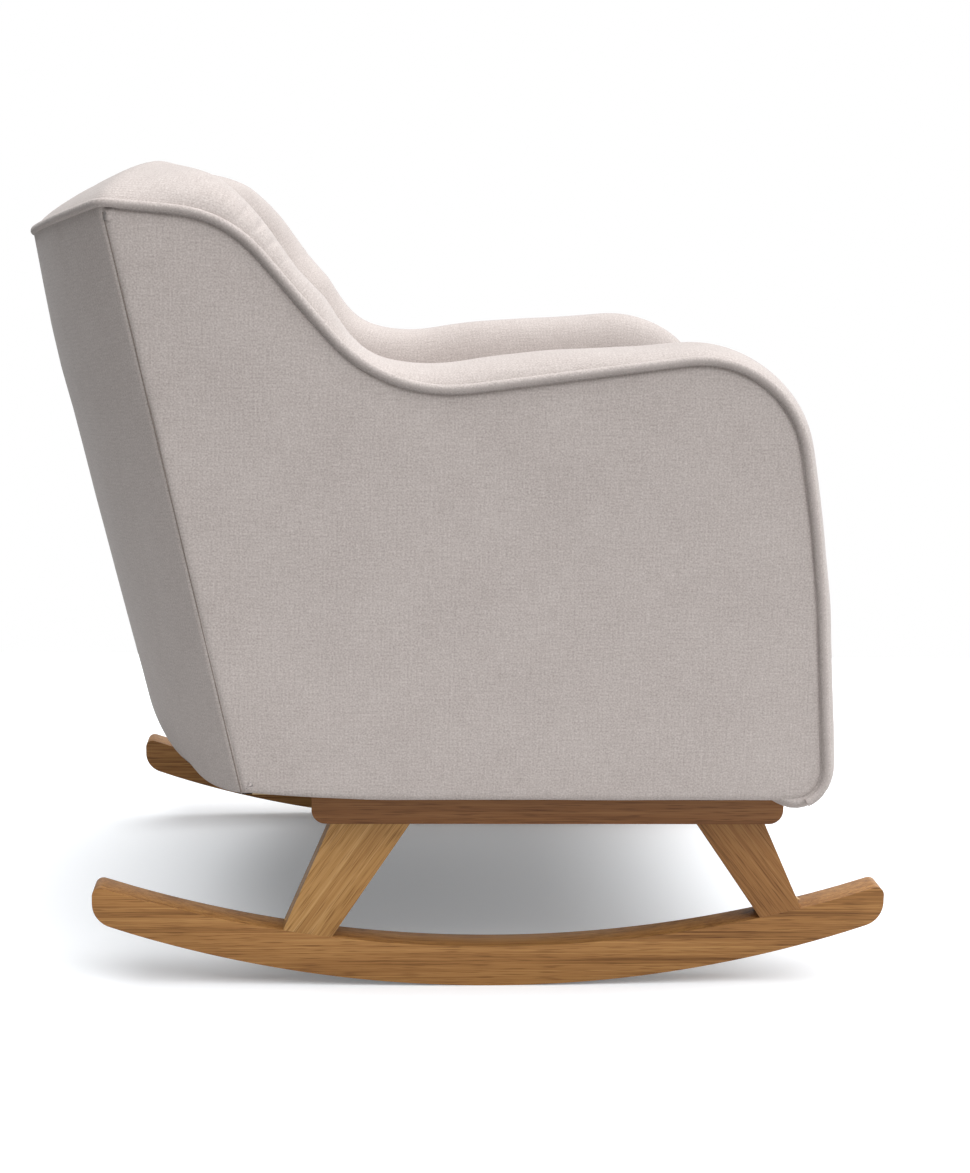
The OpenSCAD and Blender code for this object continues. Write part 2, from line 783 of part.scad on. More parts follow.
// Where the straps of the back pass the arm's lining on their way to the posts
module strap_way() {
  top_z = body_base_z + top_rail_z * cos(back_lean);
  polygon([for (p = [[-beyond, cushion_z - beyond], [-beyond, top_z],
    [back_post_d, top_z], [back_post_d, cushion_z - beyond]])
    [back_foot_f - (p.y - body_base_z) * tan(back_lean) + p.x / cos(back_lean), p.y]]);
}

// The arm pad: a lining inside the boards, a layer around them and a band outside the piping
module arm_pad(side) {
  color(fabric) on_side(side) {
    slab(seat_half, lining_x) difference() {
      band_shape();
      intersection() {
        inset_shape(board_padding, post_padding, -beyond, -beyond);
        translate([-far / 2, cushion_z - far]) square(far);
      }
      strap_way();
    }
    slab(lining_x, post_x - touch_gap) difference() {
      band_shape();
      inset_shape(board_padding, post_padding, -beyond, -beyond);
    }
    slab(post_x - touch_gap, body_half) difference() {
      band_shape();
      inset_shape(0, 0, -beyond, -beyond);
    }
  }
}

// The corner of the top roll behind the end of the arm pad
module shoulder_pad(side) {
  color(fabric) on_side(side) leaning() translate([0, 0, back_len])
    linear_extrude(top_roll_h - shoulder_step) intersection() {
      translate([0, ring_y]) circle(back_r, $fn = 180);
      translate([seat_half, touch_gap]) square([body_half - seat_half, back_bow]);
    }
}

module outer_side_cover(side) {
  color(fabric) on_side(side) slab(panel_x, body_half) side_shape();
}

// The back cover ends where its inner face meets the plane of the corner seams
module outer_back_cover() {
  edge_x = sqrt(frame_r * frame_r - ring_y * ring_y);
  color(fabric) above(body_base_z) leaning()
    back_ring(frame_r, back_r, edge_x, -40, back_len - touch_gap);
}

module inside_back_pad() {
  color(fabric) above(cushion_z) leaning()
    back_ring(face_r, pad_r, seat_half - touch_gap, 40, back_len);
}

module back_top_pad() {
  color(fabric) leaning() {
    back_ring(face_r, back_r, seat_half - touch_gap, back_len, back_len + top_roll_step);
    back_ring(face_r + top_roll_inset, back_r - top_roll_inset, seat_half - touch_gap,
      back_len + top_roll_step, back_len + top_roll_h);
  }
}

// Piping from the front foot over the arm and the wing to the rear top corner
module piping(side) {
  last = len(side_points) - 1;
  line = [for (i = [1 : last]) each corner(side_points, side_radii, i)];
  color(fabric) on_side(side) tube_along(
    [for (p = line) [body_half + piping_r + touch_gap, y_of(p.x), p.y]], piping_r, 8);
}

module back_piping() {
  half_angle = asin((body_half - 2) / back_r) - 1;
  color(fabric) leaning() translate([0, ring_y, back_len - piping_r])
    rotate([0, 0, 90 - half_angle]) rotate_extrude(angle = 2 * half_angle, $fn = 240)
      translate([back_r + piping_r + touch_gap, 0]) circle(piping_r, $fn = 24);
}

// ---------- loose seat cushion ----------

// Outline of the cushion's wall at a height, moved outwards by d
function cushion_outline(z, d) =
  let (half = cushion_half + d, front_y = y_of(cushion_front_f + d), steps = 16,
       r = cushion_corner_r + d)
  concat(
    [for (a = [0 : 15 : 90]) [-half + r - r * cos(a), front_y + r - r * sin(a), z]],
    [for (a = [90 : -15 : 0]) [half - r + r * cos(a), front_y + r - r * sin(a), z]],
    [for (i = [0 : steps]) let (x = half - 2 * half * i / steps)
      [x, ring_y_at(x, z, cushion_r + d), z]]);

module seat_cushion() {
  color(fabric) intersection() {
    translate([0, 0, cushion_z]) linear_extrude(cushion_h)
      polygon(rounded([[-cushion_half, y_of(cushion_front_f)], [-cushion_half, far / 4],
        [cushion_half, far / 4], [cushion_half, y_of(cushion_front_f)]],
        [cushion_corner_r, 0, 0, cushion_corner_r]));
    leaning_disc(cushion_r);
  }
}

module cushion_piping() {
  lift = cushion_piping_r + 1;
  color(fabric) for (z = [cushion_z + lift, cushion_z + cushion_h - lift])
    tube_along(cushion_outline(z, cushion_piping_r + touch_gap), cushion_piping_r, 6, true);
}

// The zip follows the curve of the cushion's rear wall, half way up its middle
zip_z = (cushion_z + cushion_h / 2 - body_base_z + (cushion_r + ring_y) * sin(back_lean))
  / cos(back_lean);
// The closed end of the slider's way, as a turn around the ring's axis
slider_turn = asin((zip_len / 2 - slider_len / 2 - 3) / cushion_r);

module cushion_zip() {
  color(fabric) leaning()
    back_ring(cushion_r, cushion_r + zip_tape_t, zip_len / 2, zip_z - zip_tape_w / 2,
      zip_z + zip_tape_w / 2);
}

// The slider's shell and the pull tab that hangs from it
module zip_slider() {
  slider_r = cushion_r + zip_tape_t + touch_gap;
  tab_t = 1.4;
  shell_h = 9;
  tab_h = 24;
  color(steel) leaning() translate([0, ring_y, 0]) rotate([0, 0, -slider_turn])
    translate([0, -ring_y, 0]) {
      back_ring(slider_r, slider_r + slider_t - tab_t, slider_len / 2,
        zip_z - shell_h / 2, zip_z + shell_h / 2);
      back_ring(slider_r + slider_t - tab_t, slider_r + slider_t, slider_len / 6,
        zip_z + 2 - tab_h, zip_z + 2);
    }
}

rocker(left);  // rocker_left
rocker(right);  // rocker_right
front_leg(left);  // front_leg_left
front_leg(right);  // front_leg_right
rear_leg(left);  // rear_leg_left
rear_leg(right);  // rear_leg_right
base_rail(left);  // base_rail_left
base_rail(right);  // base_rail_right
base_cross_rail(front_cross_f);  // base_cross_rail_front
base_cross_rail(rear_cross_f);  // base_cross_rail_rear
leg_dowels();
cross_rail_dowels();
base_bolts();
base_washers();
tee_nuts();
dust_cover();
seat_rail(left);  // seat_rail_left
seat_rail(right);  // seat_rail_right
seat_cross_rail(front_rail_f - rail_t);  // seat_rail_front
seat_cross_rail(rear_rail_f);  // seat_rail_rear
corner_blocks();
block_screws();
arm_panel(left);  // arm_panel_left
arm_panel(right);  // arm_panel_right
arm_post(left);  // arm_post_left
arm_post(right);  // arm_post_right
arm_top_board(left);  // arm_top_board_left
arm_top_board(right);  // arm_top_board_right
arm_inner_board(left);  // arm_inner_board_left
arm_inner_board(right);  // arm_inner_board_right
back_post(left);  // back_post_left
back_post(right);  // back_post_right
back_rail(top_rail_z);  // back_top_rail
back_rail(lower_rail_z);  // back_lower_rail
back_webbing();
seat_springs();
spring_clips();
seat_deck_pad();
front_border();
arm_pad(left);  // arm_pad_left
arm_pad(right);  // arm_pad_right
shoulder_pad(left);  // shoulder_pad_left
shoulder_pad(right);  // shoulder_pad_right
outer_side_cover(left);  // outer_side_cover_left
outer_side_cover(right);  // outer_side_cover_right
outer_back_cover();
inside_back_pad();
back_top_pad();
piping(left);  // piping_left
piping(right);  // piping_right
back_piping();
seat_cushion();
cushion_piping();
cushion_zip();
zip_slider();
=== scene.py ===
"""Looks of an upholstered rocking chair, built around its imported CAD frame.

The chair is a padded tub body with wings on an oak base with two curved runners. Sizes are in
metres and the frame is the CAD model's: +Z is up, the sitter faces -Y and X runs across.
Sizes in the classes' fields are in millimetres and are turned to metres where they are used.
"""

import json
import logging
import math
from dataclasses import dataclass, field
from enum import Enum
from typing import Any, Callable, Sequence

import bmesh
import bpy
import numpy as np
from mathutils import Matrix, Vector, geometry, noise
from mathutils.kdtree import KDTree


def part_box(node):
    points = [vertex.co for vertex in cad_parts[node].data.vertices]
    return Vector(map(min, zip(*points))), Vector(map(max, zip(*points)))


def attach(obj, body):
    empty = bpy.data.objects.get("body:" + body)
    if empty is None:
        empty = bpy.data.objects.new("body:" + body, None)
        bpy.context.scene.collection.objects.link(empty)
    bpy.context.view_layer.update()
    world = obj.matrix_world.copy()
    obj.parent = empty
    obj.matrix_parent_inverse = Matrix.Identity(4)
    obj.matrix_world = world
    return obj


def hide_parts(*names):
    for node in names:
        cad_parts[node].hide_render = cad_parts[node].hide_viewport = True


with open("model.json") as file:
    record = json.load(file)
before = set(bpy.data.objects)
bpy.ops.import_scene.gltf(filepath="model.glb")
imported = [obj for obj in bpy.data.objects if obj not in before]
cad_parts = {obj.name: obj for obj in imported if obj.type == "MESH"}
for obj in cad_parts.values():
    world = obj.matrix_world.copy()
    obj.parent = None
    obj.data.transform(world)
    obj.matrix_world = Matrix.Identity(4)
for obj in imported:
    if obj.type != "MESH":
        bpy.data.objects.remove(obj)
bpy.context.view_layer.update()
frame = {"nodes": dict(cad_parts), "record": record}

MM = 0.001
CHAIR = "chair"
CUSHION = "cushion"
LOG = logging.getLogger("rocking_chair")
Array = np.ndarray


# ---------------------------------------------------------------- nodes and colours


def linear(code: str) -> tuple[float, float, float, float]:
    """Turn an sRGB hex colour into linear RGBA.

    Args:
        code: Colour such as "#bcb3ae".

    Returns:
        Linear red, green, blue and an alpha of one.
    """
    parts = [int(code[i : i + 2], 16) / 255 for i in (1, 3, 5)]
    lin = [c / 12.92 if c <= 0.04045 else ((c + 0.055) / 1.055) ** 2.4 for c in parts]
    return (lin[0], lin[1], lin[2], 1.0)


def add_node(tree: bpy.types.NodeTree, kind: str, inputs: dict | None = None, **settings: Any) -> bpy.types.Node:
    """Add a node to a tree, with its settings, its values and its links.

    Args:
        tree: Node tree that takes the node.
        kind: The node's type name.
        inputs: Input name or index, with a value or an output socket to link from.
        settings: Attributes of the node.

    Returns:
        The new node.
    """
    node = tree.nodes.new(kind)
    for name, value in settings.items():
        setattr(node, name, value)
    for key, value in (inputs or {}).items():
        if isinstance(value, bpy.types.NodeSocket):
            tree.links.new(value, node.inputs[key])
        else:
            node.inputs[key].default_value = value
    return node


def ramp_node(tree: bpy.types.NodeTree, factor: bpy.types.NodeSocket, stops: Sequence[tuple[float, tuple]]) -> bpy.types.Node:
    """Add a colour ramp.

    Args:
        tree: Node tree that takes the ramp.
        factor: Socket that drives it.
        stops: Positions from 0 to 1, each with a linear colour.

    Returns:
        The ramp node.
    """
    node = add_node(tree, "ShaderNodeValToRGB", {"Fac": factor})
    ramp = node.color_ramp
    while len(ramp.elements) < len(stops):
        ramp.elements.new(0.5)
    for element, (place, colour) in zip(ramp.elements, stops):
        element.position = place
        element.color = colour
    return node


def new_material(name: str) -> tuple[bpy.types.Material, bpy.types.NodeTree, bpy.types.Node]:
    """Make an empty material with a Principled shader.

    Args:
        name: The material's name.

    Returns:
        The material, its tree and its Principled node.
    """
    material = bpy.data.materials.new(name)
    material.use_nodes = True
    tree = material.node_tree
    tree.nodes.clear()
    shader = add_node(tree, "ShaderNodeBsdfPrincipled")
    add_node(tree, "ShaderNodeOutputMaterial", {"Surface": shader.outputs["BSDF"]})
    return material, tree, shader


# ---------------------------------------------------------------- finishes


@dataclass(frozen=True)
class FlatWeave:
    """Soft flat-woven upholstery cloth: matt, faintly fuzzy, of yarns in slightly mixed greys."""

    name: str
    slot: str
    colour: str = "#b9b0ac"
    dark_yarn: str = "#a59b97"
    light_yarn: str = "#cbc3bf"
    # The yarns are 0.6 mm apart; they are drawn this coarse so that they show.
    pitch: float = 2.2
    slub: float = 5.0
    bump: float = 0.25
    sheen: float = 0.25
    roughness: float = 0.92

    def material(self) -> bpy.types.Material:
        """Build the cloth on the piece's own UV map, which is laid out in metres."""
        material, tree, shader = new_material(self.name)
        uv = add_node(tree, "ShaderNodeUVMap", uv_map="weave").outputs["UV"]
        place = add_node(tree, "ShaderNodeMapping", {"Vector": uv})
        across, along = 1 / (self.pitch * MM), 1 / (self.slub * 4 * MM)
        warp_place = add_node(tree, "ShaderNodeMapping", {"Vector": place.outputs["Vector"], "Scale": (across, along, 1)})
        weft_place = add_node(tree, "ShaderNodeMapping", {"Vector": place.outputs["Vector"], "Scale": (along, across, 1)})
        warp = add_node(tree, "ShaderNodeTexNoise", {"Vector": warp_place.outputs["Vector"], "Scale": 1.0, "Detail": 2.0})
        weft = add_node(tree, "ShaderNodeTexNoise", {"Vector": weft_place.outputs["Vector"], "Scale": 1.0, "Detail": 2.0})
        both = add_node(tree, "ShaderNodeMath", {0: warp.outputs[0], 1: weft.outputs[0]}, operation="ADD")
        fleck = add_node(tree, "ShaderNodeTexNoise", {"Vector": place.outputs["Vector"], "Scale": 1 / (1.7 * MM), "Detail": 3.0})
        cloud = add_node(tree, "ShaderNodeTexNoise", {"Vector": place.outputs["Vector"], "Scale": 14.0, "Detail": 3.0})
        mixed = add_node(tree, "ShaderNodeMath", {0: both.outputs[0], 1: 0.16}, operation="MULTIPLY")
        flecked = add_node(tree, "ShaderNodeMath", {0: fleck.outputs[0], 1: 0.62, 2: mixed.outputs[0]}, operation="MULTIPLY_ADD")
        clouded = add_node(tree, "ShaderNodeMath", {0: cloud.outputs[0], 1: 0.10, 2: flecked.outputs[0]}, operation="MULTIPLY_ADD")
        ramp = ramp_node(tree, clouded.outputs[0], [
            (0.36, linear(self.dark_yarn)), (0.52, linear(self.colour)), (0.68, linear(self.light_yarn))])
        tree.links.new(ramp.outputs["Color"], shader.inputs["Base Color"])
        waves = [add_node(tree, "ShaderNodeTexWave", {"Vector": place.outputs["Vector"], "Scale": 1 / (2 * self.pitch * MM * math.pi) * 1.0,
                 "Distortion": 1.2, "Detail": 1.0, "Detail Scale": 2.0}, bands_direction=d).outputs[0] for d in ("X", "Y")]
        weave = add_node(tree, "ShaderNodeMath", {0: waves[0], 1: waves[1]}, operation="MULTIPLY")
        height = add_node(tree, "ShaderNodeMath", {0: flecked.outputs[0], 1: 1.3, 2: weave.outputs[0]}, operation="MULTIPLY_ADD")
        bump = add_node(tree, "ShaderNodeBump", {"Strength": self.bump, "Distance": 0.4 * MM, "Height": height.outputs[0]})
        tree.links.new(bump.outputs["Normal"], shader.inputs["Normal"])
        shader.inputs["Roughness"].default_value = self.roughness
        shader.inputs["Sheen Weight"].default_value = self.sheen
        shader.inputs["Sheen Roughness"].default_value = 0.45
        shader.inputs["Specular IOR Level"].default_value = 0.25
        return material


@dataclass(frozen=True)
class OakBoard:
    """Straight-sawn oak under satin lacquer: warm brown, open pores, grain along the board."""

    name: str
    slot: str = "oak"
    colour: str = "#a9804f"
    dark: str = "#7d5631"
    light: str = "#bf9765"
    # Turn of the grain from level, about X, in degrees.
    slant: float = 0.0
    # Which axis the grain follows: 1 for Y, 0 for X.
    along: int = 1
    seed: float = 0.0
    roughness: float = 0.42

    def material(self) -> bpy.types.Material:
        """Build the board on Object coordinates, turned to the board's own direction."""
        material, tree, shader = new_material(self.name)
        seat = add_node(tree, "ShaderNodeTexCoord").outputs["Object"]
        turned = add_node(tree, "ShaderNodeMapping", {"Vector": seat, "Rotation": (math.radians(-self.slant), 0, 0),
                          "Location": (self.seed, self.seed * 0.7, self.seed * 1.3)})

        def stretched(cross_mm: float, long_mm: float) -> bpy.types.NodeSocket:
            """A mapping whose unit is one grain wide and one grain long."""
            scale = [1 / (cross_mm * MM)] * 3
            scale[self.along] = 1 / (long_mm * MM)
            return add_node(tree, "ShaderNodeMapping", {"Vector": turned.outputs["Vector"], "Scale": scale}).outputs["Vector"]

        rings = add_node(tree, "ShaderNodeTexNoise", {"Vector": stretched(5.5, 520.0), "Scale": 1.0, "Detail": 4.0, "Distortion": 0.35})
        fine = add_node(tree, "ShaderNodeTexNoise", {"Vector": stretched(1.5, 170.0), "Scale": 1.0, "Detail": 3.0})
        pores = add_node(tree, "ShaderNodeTexNoise", {"Vector": stretched(0.9, 34.0), "Scale": 1.0, "Detail": 1.0})
        cloud = add_node(tree, "ShaderNodeTexNoise", {"Vector": stretched(60.0, 300.0), "Scale": 1.0, "Detail": 2.0})
        sum1 = add_node(tree, "ShaderNodeMath", {0: rings.outputs[0], 1: 0.9, 2: fine.outputs[0]}, operation="MULTIPLY_ADD")
        sum2 = add_node(tree, "ShaderNodeMath", {0: cloud.outputs[0], 1: 0.35, 2: sum1.outputs[0]}, operation="MULTIPLY_ADD")
        ramp = ramp_node(tree, sum2.outputs[0], [
            (0.78, linear(self.dark)), (1.12 - 0.12, linear(self.colour)), (1.0, linear(self.light))])
        halves = add_node(tree, "ShaderNodeMath", {0: sum2.outputs[0], 1: 0.5}, operation="MULTIPLY")
        tree.links.new(halves.outputs[0], ramp.inputs["Fac"])
        for element, place in zip(ramp.color_ramp.elements, (0.40, 0.56, 0.70)):
            element.position = place
        pore_mask = ramp_node(tree, pores.outputs[0], [(0.56, (0, 0, 0, 1)), (0.68, (1, 1, 1, 1))])
        mix = add_node(tree, "ShaderNodeMix", {"Factor": pore_mask.outputs["Color"]}, data_type="RGBA", blend_type="MULTIPLY")
        tree.links.new(ramp.outputs["Color"], mix.inputs[6])
        mix.inputs[7].default_value = (0.62, 0.56, 0.5, 1)
        tree.links.new(mix.outputs[2], shader.inputs["Base Color"])
        depth = add_node(tree, "ShaderNodeMath", {0: pore_mask.outputs["Color"], 1: -1.0, 2: fine.outputs[0]}, operation="MULTIPLY_ADD")
        bump = add_node(tree, "ShaderNodeBump", {"Strength": 0.18, "Distance": 0.25 * MM, "Height": depth.outputs[0]})
        tree.links.new(bump.outputs["Normal"], shader.inputs["Normal"])
        shader.inputs["Roughness"].default_value = self.roughness
        shader.inputs["Coat Weight"].default_value = 0.05
        shader.inputs["Coat Roughness"].default_value = 0.35
        shader.inputs["Specular IOR Level"].default_value = 0.3
        return material


@dataclass(frozen=True)
class PlainTimber:
    """Planed frame timber or sanded sheet, unlacquered: pale, matt, with soft streaks."""

    name: str
    slot: str
    colour: str
    dark: str
    # Streak size across and along X, Y and Z.
    streak: tuple[float, float, float] = (6.0, 120.0, 6.0)
    roughness: float = 0.7

    def material(self) -> bpy.types.Material:
        """Build the timber on Object coordinates."""
        material, tree, shader = new_material(self.name)
        seat = add_node(tree, "ShaderNodeTexCoord").outputs["Object"]
        place = add_node(tree, "ShaderNodeMapping", {"Vector": seat, "Scale": [1 / (s * MM) for s in self.streak]})
        grain = add_node(tree, "ShaderNodeTexNoise", {"Vector": place.outputs["Vector"], "Scale": 1.0, "Detail": 5.0, "Distortion": 0.3})
        ramp = ramp_node(tree, grain.outputs[0], [(0.32, linear(self.dark)), (0.62, linear(self.colour))])
        tree.links.new(ramp.outputs["Color"], shader.inputs["Base Color"])
        bump = add_node(tree, "ShaderNodeBump", {"Strength": 0.15, "Distance": 0.3 * MM, "Height": grain.outputs[0]})
        tree.links.new(bump.outputs["Normal"], shader.inputs["Normal"])
        shader.inputs["Roughness"].default_value = self.roughness
        return material


@dataclass(frozen=True)
class PlatedSteel:
    """Zinc-plated or nickel-plated steel: metallic, with faint drawn lines and handling marks."""

    name: str
    slot: str
    colour: str = "#b4b6b8"
    roughness: float = 0.38

    def material(self) -> bpy.types.Material:
        """Build the plating on Object coordinates."""
        material, tree, shader = new_material(self.name)
        seat = add_node(tree, "ShaderNodeTexCoord").outputs["Object"]
        marks = add_node(tree, "ShaderNodeTexNoise", {"Vector": seat, "Scale": 1 / (3 * MM), "Detail": 4.0})
        low, high = self.roughness - 0.08, self.roughness + 0.12
        ramp = ramp_node(tree, marks.outputs[0], [(0.35, (low, low, low, 1)), (0.65, (high, high, high, 1))])
        tree.links.new(ramp.outputs["Color"], shader.inputs["Roughness"])
        bump = add_node(tree, "ShaderNodeBump", {"Strength": 0.05, "Distance": 0.1 * MM, "Height": marks.outputs[0]})
        tree.links.new(bump.outputs["Normal"], shader.inputs["Normal"])
        shader.inputs["Base Color"].default_value = linear(self.colour)
        shader.inputs["Metallic"].default_value = 1.0
        return material


class Cloth:
    """The chair's cloths."""

    COVER = FlatWeave("cover_flat_weave", "cover_fabric")
    DECK = FlatWeave("deck_lining", "deck_cloth", colour="#a9a19c", dark_yarn="#948c87", light_yarn="#b8b0ab", pitch=1.6, sheen=0.05)
    DUST = FlatWeave("dust_spunbond", "dust_cloth", colour="#2b2b2e", dark_yarn="#1f1f22", light_yarn="#3a3a3d", pitch=1.4, sheen=0.0, bump=0.35)
    STRAP = FlatWeave("elastic_strap", "webbing", colour="#45433f", dark_yarn="#2c2b29", light_yarn="#8b8578", pitch=2.4, sheen=0.0, bump=0.6)
    TAPE = FlatWeave("zip_tape_weave", "zip_tape", colour="#a49b96", dark_yarn="#8c847f", light_yarn="#b4aca7", pitch=1.2, sheen=0.0)
    # Dark cord laid in the rear corner seams: painted shade that draws the shadow line of each seam's groove.
    SEAM_SHADE_CORD = FlatWeave("seam_shade_cord", "cover_fabric", colour="#867c76", dark_yarn="#6f6660", light_yarn="#9a918b", pitch=0.8, sheen=0.0)
    THREAD = FlatWeave("sewing_thread", "cover_fabric", colour="#b0a7a1", dark_yarn="#968d88", light_yarn="#c4bcb7", pitch=0.8, sheen=0.1)


# ---------------------------------------------------------------- curves and meshes


def resample(points: Array, spacing: float) -> Array:
    """Points at even steps along a polyline, both ends kept.

    Args:
        points: Polyline, one point a row.
        spacing: Wanted step.

    Returns:
        The new polyline.
    """
    steps = np.linalg.norm(np.diff(points, axis=0), axis=1)
    run = np.concatenate([[0], np.cumsum(steps)])
    count = max(2, int(round(run[-1] / spacing)) + 1)
    at = np.linspace(0, run[-1], count)
    return np.stack([np.interp(at, run, points[:, k]) for k in range(points.shape[1])], axis=1)


def smoothed(points: Array, sigma: float, closed: bool = False) -> Array:
    """A polyline of even steps, smoothed by a Gaussian of sigma steps with its ends held."""
    reach = int(3 * sigma) + 1
    weights = np.exp(-0.5 * (np.arange(-reach, reach + 1) / sigma) ** 2)
    weights /= weights.sum()
    if closed:
        wide = np.concatenate([points[-reach:], points, points[:reach]])
    else:
        head = 2 * points[0] - points[1 : reach + 1][::-1]
        tail = 2 * points[-1] - points[-reach - 1 : -1][::-1]
        wide = np.concatenate([head, points, tail])
    flat = wide.reshape(len(wide), -1)
    out = np.stack([np.convolve(flat[:, k], weights, mode="valid") for k in range(flat.shape[1])], axis=1)
    return out.reshape(points.shape)


def arc_length(points: Array) -> Array:
    """The distance of each point along a polyline."""
    return np.concatenate([[0], np.cumsum(np.linalg.norm(np.diff(points, axis=0), axis=1))])


def unit(vectors: Array) -> Array:
    """Rows turned to length one."""
    return vectors / np.maximum(np.linalg.norm(vectors, axis=-1, keepdims=True), 1e-12)


def ripple(points: Array, size: float, seed: float = 0.0) -> Array:
    """Smooth noise from -1 to 1 at each point.

    Args:
        points: Places, one a row.
        size: Size of a ripple in metres.
        seed: Shift that picks another pattern.

    Returns:
        One number for each point.
    """
    shift = Vector((seed * 3.1, seed * 1.7, seed * 2.3))
    return np.array([noise.noise(Vector(p) / size + shift) for p in points])


def mesh_piece(name: str, points: Array, faces: Sequence[Sequence[int]], uv: Array, smooth: bool = True) -> bpy.types.Object:
    """Make an object from points and faces, with a UV map in metres.

    Args:
        name: The object's name.
        points: Vertices, one a row.
        faces: Vertex numbers of each face.
        uv: One UV pair for each vertex.
        smooth: Whether the shading is smooth.

    Returns:
        The object, linked to the scene.
    """
    mesh = bpy.data.meshes.new(name)
    mesh.from_pydata([tuple(map(float, p)) for p in points], [], [tuple(map(int, f)) for f in faces])
    layer = mesh.uv_layers.new(name="weave")
    corner = np.empty(len(mesh.loops), np.int32)
    mesh.loops.foreach_get("vertex_index", corner)
    layer.data.foreach_set("uv", np.asarray(uv, np.float32)[corner].ravel())
    mesh.validate()
    if smooth:
        mesh.shade_smooth()
    made = bpy.data.objects.new(name, mesh)
    bpy.context.scene.collection.objects.link(made)
    return made


def grid_faces(rows: int, columns: int, wrap: bool = False, start: int = 0) -> list[tuple[int, int, int, int]]:
    """Quads of a grid whose vertices run row by row; wrap joins the last column to the first."""
    last = columns if wrap else columns - 1
    return [(start + r * columns + c, start + r * columns + (c + 1) % columns,
             start + (r + 1) * columns + (c + 1) % columns, start + (r + 1) * columns + c)
            for r in range(rows - 1) for c in range(last)]


def face_out(piece: bpy.types.Object, merge: float = 1e-5) -> None:
    """Merge a piece's doubles and turn its faces outwards."""
    work = bmesh.new()
    work.from_mesh(piece.data)
    bmesh.ops.remove_doubles(work, verts=work.verts, dist=merge)
    bmesh.ops.recalc_face_normals(work, faces=work.faces)
    work.to_mesh(piece.data)
    work.free()
    piece.data.update()


def baked(piece: bpy.types.Object) -> bpy.types.Object:
    """Turn a piece's modifiers into its mesh and remove them."""
    graph = bpy.context.evaluated_depsgraph_get()
    mesh = bpy.data.meshes.new_from_object(piece.evaluated_get(graph), preserve_all_data_layers=True, depsgraph=graph)
    piece.modifiers.clear()
    piece.data = mesh
    return piece


def thickened(piece: bpy.types.Object, thickness: float) -> bpy.types.Object:
    """Give an open skin its thickness, on its inner side, with closed rims."""
    solid = piece.modifiers.new("wall", "SOLIDIFY")
    solid.thickness = thickness
    solid.offset = -1
    solid.use_rim = True
    return baked(piece)


def dressed(piece: bpy.types.Object, finish: Any, body: str, *nodes: str, fill: float | None = None) -> bpy.types.Object:
    """Give a piece its material and body, and hide the CAD nodes it stands for.

    Args:
        piece: The finished piece.
        finish: Finish with a material method and a slot, or a ready material's finish.
        body: CAD body that the piece rides on.
        nodes: CAD nodes that it replaces.
        fill: How full a padded piece is; None for a piece that is not padded. Not used.

    Returns:
        The piece.
    """
    piece.data.materials.clear()
    piece.data.materials.append(material_of(finish))
    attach(piece, body)
    if nodes:
        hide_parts(*nodes)
    LOG.info("%s: %d faces, on %s", piece.name, len(piece.data.polygons), body)
    return piece


MADE: dict[str, bpy.types.Material] = {}


def material_of(finish: Any) -> bpy.types.Material:
    """The material of a finish, built once."""
    if finish.name not in MADE:
        MADE[finish.name] = finish.material()
    return MADE[finish.name]


# ---------------------------------------------------------------- the CAD frame, read back


def node_points(node: str) -> Array:
    """Vertices of a CAD node, one a row."""
    mesh = frame["nodes"][node].data
    flat = np.empty(len(mesh.vertices) * 3, np.float32)
    mesh.vertices.foreach_get("co", flat)
    return flat.reshape(-1, 3).astype(float)


def rim(node: str, axis: int, level: float) -> Array:
    """Outline of the flat face of a CAD node at a level.

    Args:
        node: Name of the node.
        axis: 0, 1 or 2, the axis that the face is square to.
        level: Where the face lies on that axis.

    Returns:
        The outline's points in order, without the axis, and not closed by a double.
    """
    mesh = frame["nodes"][node].data
    mesh.calc_loop_triangles()
    points, where = np.unique(np.round(node_points(node), 5), axis=0, return_inverse=True)
    where = where.ravel()
    flat = np.abs(points[:, axis] - level) < 2e-5
    ways: set[tuple[int, int]] = set()
    for triangle in mesh.loop_triangles:
        a, b, c = (int(where[v]) for v in triangle.vertices)
        if flat[a] and flat[b] and flat[c]:
            ways.update(((a, b), (b, c), (c, a)))
    follow = {a: b for a, b in ways if (b, a) not in ways}
    chain = [next(iter(sorted(follow)))]
    while follow[chain[-1]] != chain[0]:
        chain.append(follow[chain[-1]])
    return np.delete(points[chain], axis, axis=1)


